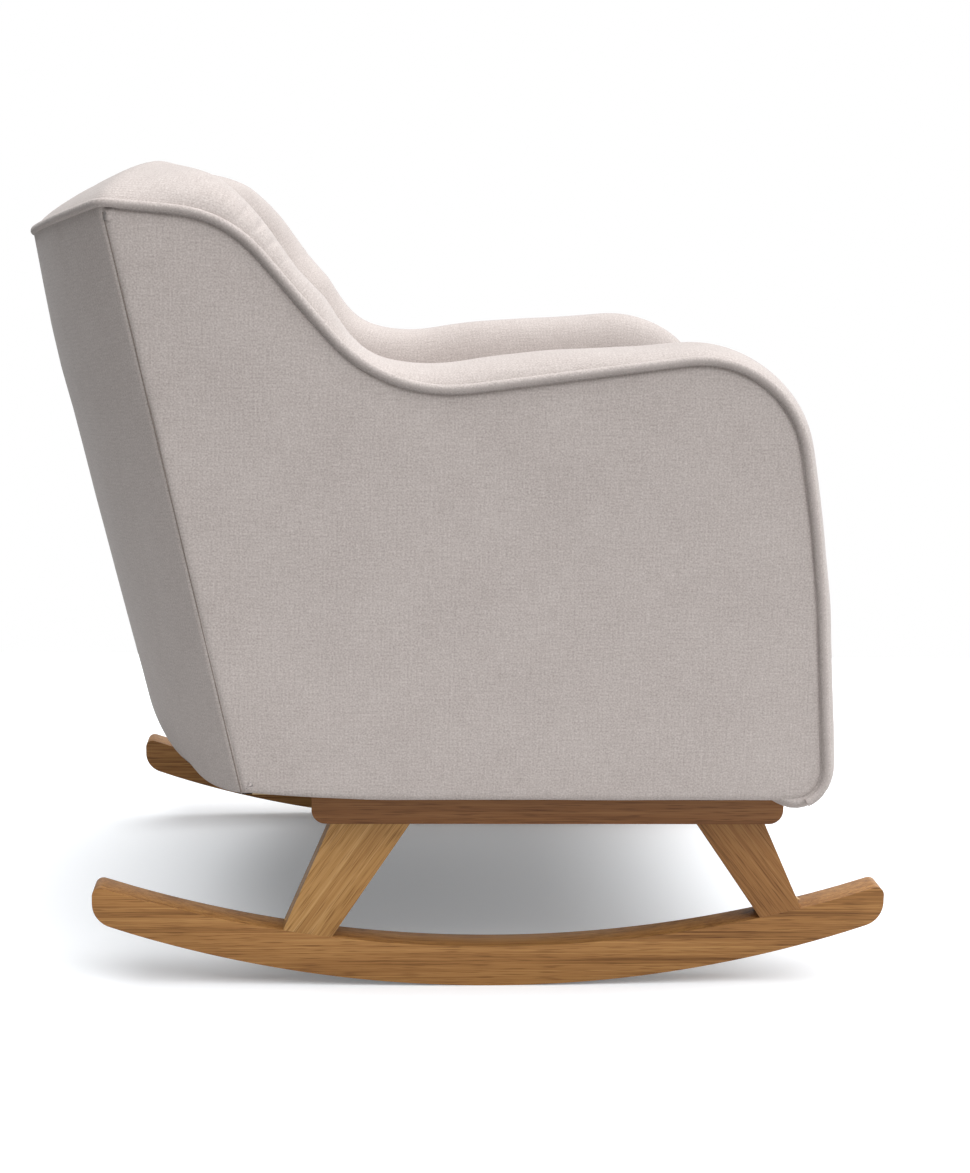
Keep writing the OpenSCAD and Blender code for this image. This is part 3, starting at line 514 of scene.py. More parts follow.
@dataclass
class BodyShape:
    """The body's main lines, read from the CAD nodes: side outline, leaning back and its rings."""

    half: float = field(init=False)
    inner_half: float = field(init=False)
    outline: Array = field(init=False)
    welt: Array = field(init=False)
    base_z: float = field(init=False)

    def __post_init__(self) -> None:
        """Read the outline of the side cover and the rings of the back."""
        low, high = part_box("outer_side_cover_left")
        self.half = high.x
        self.base_z = low.z
        self.inner_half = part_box("arm_pad_left")[0].x
        outline = rim("outer_side_cover_left", 0, high.x)
        outline = np.roll(outline, -int(np.argmax(outline[:, 0])), axis=0)
        if outline[1, 1] < outline[-1, 1]:
            outline = np.concatenate([outline[:1], outline[1:][::-1]])
        self.outline = outline
        on_base = np.flatnonzero(outline[:, 1] < low.z + 1e-4)
        self.foot = outline[on_base[-1]]
        self.welt = outline[: on_base[0] + 1]
        top = outline[0]
        self.lean = math.atan2(top[0] - self.foot[0], top[1] - self.foot[1])
        self.length = float(np.hypot(*(top - self.foot)))
        local = self.to_back(node_points("outer_back_cover"))
        self.bow = float(local[:, 1].max())
        self.radius = (self.half**2 + self.bow**2) / (2 * self.bow)
        self.centre = self.bow - self.radius
        pad = self.to_back(node_points("inside_back_pad"))
        self.face = float(np.hypot(pad[:, 0], pad[:, 1] - self.centre).min())
        self.seam_turn = math.asin(self.half / self.radius)

    def to_back(self, points: Array) -> Array:
        """Points in the back's leaning frame, which stands on the foot of the corner seams."""
        c, s = math.cos(self.lean), math.sin(self.lean)
        y, z = points[:, 1] - self.foot[0], points[:, 2] - self.foot[1]
        return np.stack([points[:, 0], y * c - z * s, y * s + z * c], axis=1)

    def from_back(self, points: Array) -> Array:
        """Points of the back's leaning frame, in the chair's frame."""
        c, s = math.cos(self.lean), math.sin(self.lean)
        y, z = points[:, 1], points[:, 2]
        return np.stack([points[:, 0], self.foot[0] + y * c + z * s, self.foot[1] - y * s + z * c], axis=1)

    @property
    def back_up(self) -> Array:
        """The direction up along the back."""
        return np.array([0.0, math.sin(self.lean), math.cos(self.lean)])


# ---------------------------------------------------------------- flat panels


def inset(outline: Array, d: float) -> Array:
    """A closed outline moved inwards by d, with mitred corners.

    Args:
        outline: Points in order, either way round.
        d: Distance.

    Returns:
        As many points as the outline has.
    """
    before = unit(outline - np.roll(outline, 1, axis=0))
    after = unit(np.roll(outline, -1, axis=0) - outline)
    x, y = outline[:, 0], outline[:, 1]
    way = np.sign(np.sum(x * np.roll(y, -1) - np.roll(x, -1) * y))
    turn = np.array([[0, 1], [-1, 0]])
    n1, n2 = before @ turn * way, after @ turn * way
    mid = unit(n1 + n2)
    reach = 1 / np.maximum(np.sum(mid * n2, axis=1), 0.5)
    return outline + mid * (d * reach)[:, None]


@dataclass
class Panel:
    """A flat sewn panel: rings that follow its outline, then a net of points inside."""

    outline: Array
    rings: tuple[float, ...] = (0.0, 0.8, 2.0, 4.0, 7.0, 12.0)
    net: float = 13.0

    def build(self) -> tuple[Array, list[tuple[int, ...]], Array]:
        """Fill the outline.

        Returns:
            The panel's points in its plane, its faces, and each point's distance from the edge.
        """
        loops = [inset(self.outline, r * MM) for r in self.rings]
        count = len(self.outline)
        faces = grid_faces(len(loops), count, wrap=True)
        points = np.concatenate(loops)
        core = loops[-1]
        low, high = core.min(0), core.max(0)
        step = self.net * MM
        inside: list[tuple[float, float]] = []
        tree = KDTree(count)
        for i, p in enumerate(core):
            tree.insert((p[0], p[1], 0), i)
        tree.balance()
        for row, v in enumerate(np.arange(low[1], high[1], step * 0.87)):
            for u in np.arange(low[0] + (row % 2) * step / 2, high[0], step):
                if in_outline(core, u, v) and tree.find((u, v, 0))[2] > step * 0.6:
                    inside.append((u, v))
        fill = [Vector(p) for p in core] + [Vector(p) for p in inside]
        edges = [(i, (i + 1) % count) for i in range(count)]
        spots, _, triangles, origin, *_ = geometry.delaunay_2d_cdt(fill, edges, [], 1, 1e-7)
        base = (len(loops) - 1) * count
        number = []
        extra = []
        for k, spot in enumerate(spots):
            was = origin[k][0] if origin[k] else None
            if was is not None and was < count:
                number.append(base + was)
            else:
                number.append(base + count + len(extra))
                extra.append((spot.x, spot.y))
        faces += [tuple(number[v] for v in t) for t in triangles]
        points = np.concatenate([points, np.array(extra)]) if extra else points
        edge_tree = KDTree(count)
        for i, p in enumerate(self.outline):
            edge_tree.insert((p[0], p[1], 0), i)
        edge_tree.balance()
        depth = np.array([edge_tree.find((p[0], p[1], 0))[2] for p in points])
        for k, r in enumerate(self.rings):
            depth[k * count : (k + 1) * count] = r * MM
        return points, faces, depth


def in_outline(outline: Array, u: float, v: float) -> bool:
    """Whether a point lies inside a closed outline."""
    a, b = outline, np.roll(outline, -1, axis=0)
    cross = (a[:, 1] > v) != (b[:, 1] > v)
    with np.errstate(divide="ignore", invalid="ignore"):
        at = (b[:, 0] - a[:, 0]) * (v - a[:, 1]) / (b[:, 1] - a[:, 1]) + a[:, 0]
    return bool(np.count_nonzero(cross & (u < at)) % 2)


def turned_edge(depth: Array, radius: float) -> Array:
    """How far a panel's face lies back at a distance from its edge, where the edge turns in.

    Args:
        depth: Distances from the edge.
        radius: Radius of the turned edge.

    Returns:
        Depths below the panel's face, 0 away from the edge.
    """
    share = np.clip(1 - depth / radius, 0, 1)
    return radius * (1 - np.sqrt(np.maximum(1 - share**2, 0)))


# ---------------------------------------------------------------- tubes by Geometry Nodes


def curve_object(name: str, points: Array, closed: bool) -> bpy.types.Object:
    """A poly curve through points, linked to the scene."""
    curve = bpy.data.curves.new(name, "CURVE")
    curve.dimensions = "3D"
    spline = curve.splines.new("POLY")
    spline.points.add(len(points) - 1)
    spline.points.foreach_set("co", np.concatenate([points, np.ones((len(points), 1))], axis=1).ravel())
    spline.use_cyclic_u = closed
    made = bpy.data.objects.new(name, curve)
    bpy.context.scene.collection.objects.link(made)
    return made


@dataclass(frozen=True)
class NodesInput:
    """An input of a Geometry Nodes tree."""

    name: str
    kind: str
    value: Any


def nodes_tree(name: str, inputs: Sequence[NodesInput]) -> tuple[bpy.types.NodeTree, bpy.types.Node, bpy.types.Node]:
    """Start a Geometry Nodes tree.

    Args:
        name: The tree's name.
        inputs: Its inputs after the geometry.

    Returns:
        The tree, its input node and its output node.
    """
    tree = bpy.data.node_groups.new(name, "GeometryNodeTree")
    tree.interface.new_socket("Geometry", in_out="INPUT", socket_type="NodeSocketGeometry")
    for entry in inputs:
        tree.interface.new_socket(entry.name, in_out="INPUT", socket_type=entry.kind)
    tree.interface.new_socket("Geometry", in_out="OUTPUT", socket_type="NodeSocketGeometry")
    return tree, add_node(tree, "NodeGroupInput"), add_node(tree, "NodeGroupOutput")


def run_nodes(carrier: bpy.types.Object, tree: bpy.types.NodeTree, inputs: Sequence[NodesInput], name: str) -> bpy.types.Object:
    """Evaluate a tree on an object and keep the plain mesh.

    Args:
        carrier: Object that the tree works on; it is removed.
        tree: The tree.
        inputs: The inputs' values.
        name: Name of the new piece.

    Returns:
        The new piece.
    """
    modifier = carrier.modifiers.new("nodes", "NODES")
    modifier.node_group = tree
    sockets = {item.name: item.identifier for item in tree.interface.items_tree if item.in_out == "INPUT"}
    for entry in inputs:
        modifier[sockets[entry.name]] = entry.value
    graph = bpy.context.evaluated_depsgraph_get()
    mesh = bpy.data.meshes.new_from_object(carrier.evaluated_get(graph), preserve_all_data_layers=True, depsgraph=graph)
    mesh.name = name
    bpy.data.objects.remove(carrier)
    made = bpy.data.objects.new(name, mesh)
    bpy.context.scene.collection.objects.link(made)
    return made


def piping_tube(name: str, points: Array, radius: float, finish: FlatWeave, closed: bool = False) -> bpy.types.Object:
    """Sweep a corded piping along a path.

    Args:
        name: Name of the piece.
        points: The path.
        radius: The piping's radius.
        finish: Its cloth.
        closed: Whether the path is a loop.

    Returns:
        The piping, with a UV map in metres.
    """
    inputs = [NodesInput("Radius", "NodeSocketFloat", radius), NodesInput("Sides", "NodeSocketInt", 14),
              NodesInput("Cloth", "NodeSocketMaterial", material_of(finish))]
    tree, start, end = nodes_tree(name + "_sweep", inputs)
    profile = add_node(tree, "GeometryNodeCurvePrimitiveCircle", {"Resolution": start.outputs["Sides"], "Radius": start.outputs["Radius"]})
    along = add_node(tree, "GeometryNodeSplineParameter")
    keep_run = add_node(tree, "GeometryNodeStoreNamedAttribute", {"Geometry": start.outputs["Geometry"], "Name": "run", "Value": along.outputs["Length"]},
                        data_type="FLOAT", domain="POINT")
    around = add_node(tree, "GeometryNodeSplineParameter")
    keep_turn = add_node(tree, "GeometryNodeStoreNamedAttribute", {"Geometry": profile.outputs["Curve"], "Name": "turn", "Value": around.outputs["Length"]},
                         data_type="FLOAT", domain="POINT")
    sweep = add_node(tree, "GeometryNodeCurveToMesh", {"Curve": keep_run.outputs["Geometry"], "Profile Curve": keep_turn.outputs["Geometry"], "Fill Caps": True})
    real = add_node(tree, "GeometryNodeRealizeInstances", {"Geometry": sweep.outputs["Mesh"]})
    done = add_node(tree, "GeometryNodeSetMaterial", {"Geometry": real.outputs["Geometry"], "Material": start.outputs["Cloth"]})
    tree.links.new(done.outputs["Geometry"], end.inputs["Geometry"])
    made = run_nodes(curve_object(name + "_path", points, closed), tree, inputs, name)
    mesh = made.data
    run, turn = (np.empty(len(mesh.vertices), np.float32) for _ in range(2))
    mesh.attributes["run"].data.foreach_get("value", run)
    mesh.attributes["turn"].data.foreach_get("value", turn)
    corner = np.empty(len(mesh.loops), np.int32)
    mesh.loops.foreach_get("vertex_index", corner)
    layer = mesh.uv_layers.get("weave") or mesh.uv_layers.new(name="weave")
    bias = np.stack([run[corner] + turn[corner], run[corner] - turn[corner]], axis=1) * 0.7071
    layer.data.foreach_set("uv", bias.astype(np.float32).ravel())
    for extra in ("run", "turn"):
        mesh.attributes.remove(mesh.attributes[extra])
    mesh.shade_smooth()
    face_out(made)
    return made


# ---------------------------------------------------------------- the padded cover


@dataclass
class Upholstery:
    """The body's sewn covers: sides, back, the crowned inner cover and its piping.

    Sizes are in millimetres. Heights along the crown are pairs of the distance from the rear
    corner, along the side's welt, and the crown's height over the welt there.
    """

    shape: BodyShape
    step: float = 5.0
    fillet: float = 60.0
    straight: float = 17.0
    crown: tuple[tuple[float, float], ...] = (
        (-400, 34), (-150, 34), (0, 34.5), (30, 38), (58, 41), (91, 42.5), (110, 38), (133, 34), (176, 27), (215, 22), (264, 15), (288, 11.5),
        (300, 13), (327, 19), (380, 25), (432, 27), (480, 25.5), (530, 21.5), (577, 18), (640, 16.5), (667, 17), (693, 18),
        (721, 18.5), (881, 19), (952, 19), (1073, 19), (1104, 18), (1135, 12), (1160, 4), (1250, 2))
    # Where the crown peaks, as the share of the width, and how round it is: 2 is an ellipse.
    peak: tuple[tuple[float, float], ...] = (
        (-400, 0.72), (0, 0.66), (60, 0.54), (110, 0.48), (250, 0.48), (350, 0.62), (720, 0.62), (950, 0.5), (1250, 0.42))
    round: tuple[tuple[float, float], ...] = (
        (-400, 1.65), (0, 1.7), (60, 1.9), (110, 2.2), (1250, 2.2))
    dip: float = 8.7
    # How far the outer back's foot hangs below the frame at its middle, and how far it rolls in.
    foot_sag: float = 12.0
    foot_roll: float = 20.0
    drop: tuple[tuple[float, float], ...] = ((0, 30), (1000, 30), (1090, 14), (1250, 5))
    puckers: tuple[tuple[float, float], ...] = ((104, 1.4), (119, 2.2), (135, 2.4), (152, 1.8), (171, 1.0))
    wall: float = 4.0
    piping_r: float = 4.2
    # Radius of the dark cord in each rear corner seam: painted shade for the groove's shadow line.
    seam_shade_r: float = 0.7
    piping_rise: float = 3.8
    puff: float = 3.0
    # How far the outer back stands out, against the share of its height.
    back_puff: tuple[tuple[float, float], ...] = (
        (0, -3), (0.05, -3), (0.3, -0.8), (0.5, 2), (0.67, 3.2), (0.75, 5), (0.83, 5), (0.9, 3.5), (1, 0.5))

    def back_bulge(self, turn: Array, up: Array) -> Array:
        """How far the outer back stands out of its ring.

        Args:
            turn: Angle from the middle, in radians.
            up: Share of the back's height.

        Returns:
            Metres, 0 at the corner seams.
        """
        side = 1 - (turn / self.shape.seam_turn) ** 2
        rise = np.interp(up, *zip(*self.back_puff))
        return MM * np.clip(side, 0, 1) ** 0.8 * rise

    def back_dip(self, turn: Array) -> Array:
        """How far the back's top edge dips below the level of its corners."""
        return self.dip * MM * (1 - (turn / self.shape.seam_turn) ** 2)

    def back_arc(self, turns: Array, up: float, out: float = 0.0) -> Array:
        """Points of the outer back at a height share, from angles."""
        r = self.shape.radius + self.back_bulge(turns, np.full(len(turns), up)) + out
        height = up * (self.shape.length - self.back_dip(turns))
        local = np.stack([r * np.sin(turns), self.shape.centre + r * np.cos(turns), height], axis=1)
        return self.shape.from_back(local)

    def welt_line(self) -> tuple[Array, float]:
        """The welt of the left half, from the middle of the back to under the front foot.

        Returns:
            Its points at even steps of 2 mm, and the distance of the rear corner along it.
        """
        arc = self.back_arc(np.linspace(0, self.shape.seam_turn, 120), 1.0)
        side = np.insert(self.shape.welt, 0, self.shape.half, axis=1)
        under = side[-1] + np.array([0, 22 * MM, 10 * MM])
        corner = float(arc_length(arc)[-1])
        line = resample(np.concatenate([arc, side[1:], under[None]]), 2 * MM)
        return smoothed(line, 3.5), corner

    def inner_plan(self, run: Array) -> Array:
        """Points of the inner wall's plan, in the leaning frame.

        Args:
            run: Distances along it from the middle of the back.

        Returns:
            Pairs of x and y.
        """
        s, r, f = self.shape, self.shape.face, self.fillet * MM
        turn = math.asin((s.inner_half - f) / (r - f))
        centre = np.array([s.inner_half - f, s.centre + (r - f) * math.cos(turn)])
        out = np.empty((len(run), 2))
        for k, b in enumerate(run):
            if b <= r * turn:
                out[k] = (r * math.sin(b / r), s.centre + r * math.cos(b / r))
            elif b <= r * turn + f * (math.pi / 2 - turn):
                a = turn + (b - r * turn) / f
                out[k] = centre + f * np.array([math.sin(a), math.cos(a)])
            else:
                out[k] = (s.inner_half, centre[1] - (b - r * turn - f * (math.pi / 2 - turn)))
        return out

    def stations(self) -> dict[str, Any]:
        """The lines that the crowned cover is lofted on, for the left half.

        Returns:
            The welt points, the across and up directions, widths, distances and marks.
        """
        s = self.shape
        line, corner = self.welt_line()
        run = arc_length(line)
        tangent = unit(np.gradient(line, axis=0))
        up = np.stack([np.zeros(len(line)), tangent[:, 2], -tangent[:, 1]], axis=1)
        up[run < corner] = s.back_up
        up = unit(smoothed(up, 6.0))
        local = s.to_back(line)
        r, f = s.face, self.fillet * MM
        turn = math.asin((s.inner_half - f) / (r - f))
        tangent_y = s.centre + (r - f) * math.cos(turn)
        join = int(np.flatnonzero((run > corner) & (local[:, 1] < tangent_y - self.straight * MM))[0])
        reach = r * turn + f * (math.pi / 2 - turn) + (tangent_y - local[join, 1])
        t = run[: join + 1] / run[join]
        m0 = r / s.radius * run[join] / reach
        m1 = 1.0 * run[join] / reach
        share = m0 * (t**3 - 2 * t**2 + t) + (3 * t**2 - 2 * t**3) + m1 * (t**3 - t**2)
        inner_run = reach * share
        inner = line.copy()
        inner[:, 0] = s.inner_half
        plan = self.inner_plan(inner_run)
        inner[: join + 1] = s.from_back(np.concatenate([plan, local[: join + 1, 2:]], axis=1))
        across = inner - line
        width = np.linalg.norm(across, axis=1)
        pick = [0.0]
        marks = [corner + m[0] * MM for m in self.puckers]
        while pick[-1] < run[-1]:
            near = min(abs(pick[-1] - m) for m in marks)
            pick.append(pick[-1] + (1.6 if near < 14 * MM else self.step) * MM)
        pick[-1] = run[-1]
        at = np.array(pick)

        def sampled(values: Array) -> Array:
            """Values at the picked distances."""
            return np.stack([np.interp(at, run, values[:, k]) for k in range(values.shape[1])], axis=1)

        inner_at = np.interp(at, run[: join + 1], inner_run)
        return {"welt": sampled(line), "up": unit(sampled(up)), "across": unit(sampled(across)), "width": np.interp(at, run, width),
                "run": at, "side": at - corner, "inner_run": inner_at, "tangent_run": r * turn + f * (math.pi / 2 - turn),
                "fillet_run": r * turn + f * (math.pi / 2 - turn) / 2, "join": run[join]}

    def inner_cover(self) -> bpy.types.Object:
        """The one-piece cover over arms, wings and back, down to the deck."""
        s, st = self.shape, self.stations()
        side = st["side"] / MM
        height = np.interp(side, *zip(*self.crown)) * MM
        drop = np.interp(side, *zip(*self.drop)) * MM
        height = smoothed(height[:, None], 4.0)[:, 0]
        width, welt, across, up = st["width"], st["welt"], st["across"], st["up"]
        outer, inner = 14, 18
        first = np.linspace(0, np.pi / 2, outer)
        second = np.linspace(np.pi / 2, np.pi, inner)[1:]
        peak = np.interp(side, *zip(*self.peak)) * width
        power = 2 / np.interp(side, *zip(*self.round))[:, None]
        b = np.concatenate([peak[:, None] * (1 - np.cos(first)[None] ** power),
                            peak[:, None] + (width - peak)[:, None] * np.abs(np.cos(second))[None] ** (2 / 2.3)], axis=1)
        n = np.concatenate([height[:, None] * np.sin(first)[None] ** power,
                            -drop[:, None] + (height + drop)[:, None] * np.maximum(np.sin(second), 0)[None] ** (2 / 2.3)], axis=1)
        n[:, 0] = -2.5 * MM
        b[:, 0] = 1.5 * MM
        for place, depth in self.puckers:
            along = np.exp(-(((side[:, None] - place - 0.12 * b / MM) / 2.4) ** 2))
            fade = np.exp(-((b / MM - 16) / 13) ** 2)
            n = n - depth * MM * along * fade
        band = welt[:, None] + across[:, None] * b[..., None] + up[:, None] * n[..., None]
        edge = band[:, -1]
        split = int(np.flatnonzero((st["side"] > 0.5) & (up[:, 1] < -0.7071))[0])
        deck_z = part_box("seat_deck_pad")[1].z - 12 * MM
        below = np.flatnonzero((np.arange(len(edge)) > split) & (edge[:, 2] < deck_z))[0]
        front = edge[split : below + 1]
        share = (front[0, 2] - front[:, 2]) / (front[0, 2] - front[-1, 2])
        floor_z = front[-1, 2]
        columns = edge[: split + 1]
        foot = columns - s.back_up * ((columns[:, 2] - floor_z) / math.cos(s.lean))[:, None]
        curved = st["run"][: split + 1] <= st["join"]
        plane = np.flatnonzero(~curved | (st["inner_run"][: split + 1] > st["tangent_run"]))
        start = plane[0]
        y0, y1 = columns[start, 1], columns[-1, 1]
        d0, d1 = foot[start, 1], front[-1, 1]
        foot[plane, 1] = d0 + (columns[plane, 1] - y0) * (d1 - d0) / (y1 - y0)
        foot[plane, 0], foot[plane, 2] = s.inner_half, floor_z
        inside = columns[:, None] + (foot - columns)[:, None] * share[None, :, None]
        drift = front - inside[-1]
        weight = np.clip(1 - (columns[:, 1] - columns[-1, 1]) / 0.25, 0, 1) ** 2
        inside += weight[:, None, None] * drift[None]
        inward = np.zeros_like(columns)
        inward[:, 0] = -1
        on_ring = st["inner_run"][: split + 1] <= st["tangent_run"]
        plan_step = np.gradient(columns, axis=0)
        facing = unit(np.cross(plan_step, s.back_up))
        facing[facing[:, 1] > 0.2] *= -1
        inward[on_ring] = facing[on_ring]
        inward = unit(smoothed(inward, 3.0))
        inner_run = st["inner_run"][: split + 1]
        ring = np.clip(1 - (inner_run / st["fillet_run"]) ** 2, 0, 1)
        arm = np.clip((columns[start, 1] - columns[:, 1]) / 0.08, 0, 1) * np.clip((columns[:, 1] - columns[-1, 1]) / 0.06, 0, 1)
        swell = 15 * MM * ring[:, None] * np.sin(np.pi * np.clip(share, 0, 1))[None] ** 0.8
        swell = swell + 4 * MM * arm[:, None] * np.sin(np.pi * share)[None] ** 0.7
        seam = np.exp(-(((inner_run - st["fillet_run"]) / (5 * MM)) ** 2))
        seam[st["run"][: split + 1] > st["join"]] = 0
        swell = swell - 5 * MM * seam[:, None] * np.clip(share * 12, 0, 1)[None]
        inside += inward[:, None] * swell[..., None]
        length = np.concatenate([np.zeros((len(b), 1)), np.cumsum(np.hypot(np.diff(b, axis=1), np.diff(n, axis=1)), axis=1)], axis=1)
        band_uv = np.stack([np.repeat(st["run"][:, None], band.shape[1], 1), length], axis=2)
        inside_uv = np.stack([np.repeat(st["run"][: split + 1, None], len(share), 1),
                              length[: split + 1, -1:] + share[None] * (front[0, 2] - floor_z)], axis=2)
        mirror = np.array([-1.0, 1.0, 1.0])
        full_band = np.concatenate([band[1:][::-1] * mirror, band])
        full_inside = np.concatenate([inside[1:][::-1] * mirror, inside])
        uv_band = np.concatenate([band_uv[1:][::-1] * (-1, 1), band_uv])
        uv_inside = np.concatenate([inside_uv[1:][::-1] * (-1, 1), inside_uv])
        points = np.concatenate([full_band.reshape(-1, 3), full_inside.reshape(-1, 3)])
        uv = np.concatenate([uv_band.reshape(-1, 2), uv_inside.reshape(-1, 2)])
        faces = grid_faces(*full_band.shape[:2]) + grid_faces(*full_inside.shape[:2], start=full_band.shape[0] * full_band.shape[1])
        piece = mesh_piece("inner_cover", points, faces, uv)
        face_out(piece, 2e-5)
        faces_towards(piece, Vector((0, 0, 1)))
        stir(piece, 0.7 * MM, 0.075, 1.0, welt)
        thickened(piece, self.wall * MM)
        piece.data.shade_smooth()
        return piece

    def side_panel(self, side: int) -> bpy.types.Object:
        """The outer cover of one side, from the rear seam to the welt, turned under at its foot.

        Args:
            side: 1 for left, -1 for right.
        """
        s = self.shape
        closed = np.concatenate([s.outline, s.outline[:1]])
        even = resample(closed, 4 * MM)[:-1]
        soft = smoothed(even, 1.6, closed=True)
        sharp = np.minimum(np.linalg.norm(even - s.outline[0], axis=1), np.linalg.norm(even - s.foot, axis=1))
        keep = np.clip(1 - sharp / (14 * MM), 0, 1)[:, None]
        even = soft * (1 - keep) + even * keep
        rise = np.clip(1 - np.linalg.norm(even - s.foot, axis=1) / 0.16, 0, 1) ** 2
        even[:, 1] += 7 * MM * rise
        flat, faces, depth = Panel(even).build()
        x = s.half + self.puff * MM * (1 - np.exp(-depth / (45 * MM))) - turned_edge(depth, 6 * MM)
        points = np.stack([x * side, flat[:, 0], flat[:, 1]], axis=1)
        rim_count = len(even)
        back = points[:rim_count].copy()
        back[:, 0] -= side * 7 * MM
        under = np.insert(inset(even, 24 * MM), 0, back[:, 0], axis=1)
        points = np.concatenate([points, back, under])
        n = len(flat)
        for a, b in ((0, n), (n, n + rim_count)):
            faces += [(a + i, a + (i + 1) % rim_count, b + (i + 1) % rim_count, b + i) for i in range(rim_count)]
        uv = np.concatenate([flat, even, even])
        piece = mesh_piece(f"side_panel_{'left' if side > 0 else 'right'}", points, faces, uv)
        face_out(piece)
        faces_towards(piece, Vector((side, 0, 0)))
        stir(piece, 0.9 * MM, 0.11, 2.0 + side, None)
        return piece

    def back_panel(self) -> bpy.types.Object:
        """The outer back: a bowed panel from seam to seam, turned under at its foot."""
        s = self.shape
        turns = np.linspace(-s.seam_turn, s.seam_turn, 151)
        edge_steps = np.array([0, 0.8, 2.0, 4.0, 7.0, 11.0]) * MM / s.radius
        turns = np.sort(np.concatenate([-s.seam_turn + edge_steps, s.seam_turn - edge_steps, turns[2:-2]]))
        ups = np.concatenate([np.array([0, 0.8, 2.0, 4.0, 7.0]) * MM / s.length, np.linspace(0.02, 0.985, 84), [0.992, 0.997, 1.0]])
        radius = s.radius + np.zeros((len(ups), len(turns)))
        seam_gap = (s.seam_turn - np.abs(turns)) * s.radius
        foot_gap = ups * s.length
        radius += self.back_bulge(turns[None], ups[:, None])
        radius -= turned_edge(np.broadcast_to(seam_gap, radius.shape), 5 * MM)
        rolled = np.clip(1 - foot_gap / (60 * MM), 0, 1)[:, None] * np.clip(seam_gap / 0.15, 0, 1)[None] ** 0.7
        radius -= self.foot_roll * MM * (1 - np.sqrt(1 - rolled**2))
        radius -= turned_edge(np.broadcast_to(foot_gap[:, None], radius.shape), 6 * MM)
        y = s.centre + radius * np.cos(turns)[None]
        low = y * math.tan(s.lean)
        sag = self.foot_sag * MM * (1 - (turns / s.seam_turn) ** 2)
        rise = 7 * MM * np.clip(1 - seam_gap / 0.12, 0, 1) ** 2 - sag
        z = (low + rise[None]) * (1 - ups[:, None]) + (s.length - self.back_dip(turns))[None] * ups[:, None]
        local = np.stack([radius * np.sin(turns)[None], y, z], axis=2)
        points = s.from_back(local.reshape(-1, 3)).reshape(local.shape)
        under = points[0].copy()
        under[:, 1] -= 28 * MM * np.cos(turns)
        under[:, 0] -= 28 * MM * np.sin(turns)
        lip = points[0].copy()
        lip[:, 1] -= 6 * MM
        points = np.concatenate([under[None], lip[None], points])
        run = np.concatenate([[-0.028, -0.006], foot_gap])
        uv = np.stack([np.broadcast_to(turns * s.radius, points.shape[:2]), np.broadcast_to(run[:, None], points.shape[:2])], axis=2)
        piece = mesh_piece("back_panel", points.reshape(-1, 3), grid_faces(*points.shape[:2]), uv.reshape(-1, 2))
        face_out(piece)
        faces_towards(piece, Vector((0, 1, 0)))
        stir(piece, 1.6 * MM, 0.13, 5.0, None, (1.0, 1.0, 0.35))
        return piece

    def front_border(self) -> bpy.types.Object:
        """The padded strip below the cushion's front, between the arms."""
        low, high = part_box("front_border")
        half = high.x - 1 * MM
        y0, y1, z0, z1 = low.y, high.y, low.z, high.z
        flat = np.array([[y1, z0], [y0, z0], [y0, z1], [y1, z1]])
        outline = rounded_loop(flat, [4 * MM, 9 * MM, 22 * MM, 6 * MM], 3 * MM)
        xs = np.concatenate([[-1, -0.998, -0.992, -0.98], np.linspace(-0.95, 0.95, 60), [0.98, 0.992, 0.998, 1]]) * half
        gap = half - np.abs(xs)
        middle = outline.mean(0)
        rings = []
        for x, g in zip(xs, gap):
            pull = float(turned_edge(np.array([g]), 8 * MM)[0])
            swell = 1 + 0.02 * (1 - math.exp(-g / 0.05))
            ring = middle + (outline - middle) * swell
            away = unit(outline - middle)
            ring = ring - away * pull
            rings.append(np.insert(ring, 0, x, axis=1))
        points = np.array(rings)
        count = points.shape[1]
        faces = grid_faces(len(rings), count, wrap=True)
        faces += [tuple(range(count)), tuple(range((len(rings) - 1) * count, len(rings) * count))]
        run = np.linspace(0, float(arc_length(outline)[-1]), count)
        uv = np.stack([np.repeat(xs[:, None], count, 1), np.repeat(run[None], len(xs), 0)], axis=2)
        piece = mesh_piece("front_border_pad", points.reshape(-1, 3), faces, uv.reshape(-1, 2))
        face_out(piece)
        stir(piece, 0.6 * MM, 0.08, 7.0, None)
        return piece

    def piping_line(self) -> Array:
        """The path of the piping, from one front foot over the back to the other."""
        line, corner = self.welt_line()
        run = arc_length(line)
        tangent = unit(np.gradient(line, axis=0))
        out = np.stack([np.zeros(len(line)), tangent[:, 2], -tangent[:, 1]], axis=1)
        out[run < corner] = self.shape.back_up
        out = unit(smoothed(out, 6.0))
        lateral = unit(np.cross(out, tangent))
        lateral[lateral[:, 0] < 0] *= -1
        proud = np.interp(run, [0, corner * 0.6, corner], [-2.4, -1.2, 1.2])[:, None] * MM
        path = line + lateral * proud + out * self.piping_rise * MM
        path = resample(path[: int(np.searchsorted(run, run[-1] - 34 * MM))], 4 * MM)
        return np.concatenate([path[1:][::-1] * (-1, 1, 1), path])

    def seam_shade_line(self, side: int) -> Array:
        """The path of the dark cord along the closed seam at a rear corner, in the groove between side and back:
        painted shade that draws the groove's shadow line.
        """
        top = np.array([self.shape.half, *self.shape.welt[0]])
        foot = np.array([self.shape.half, *self.shape.foot])
        line = foot + (top - foot) * np.linspace(0.012, 0.99, 120)[:, None]
        line += np.array([-1.6, -1.2, 0]) * MM
        return line * (side, 1, 1)

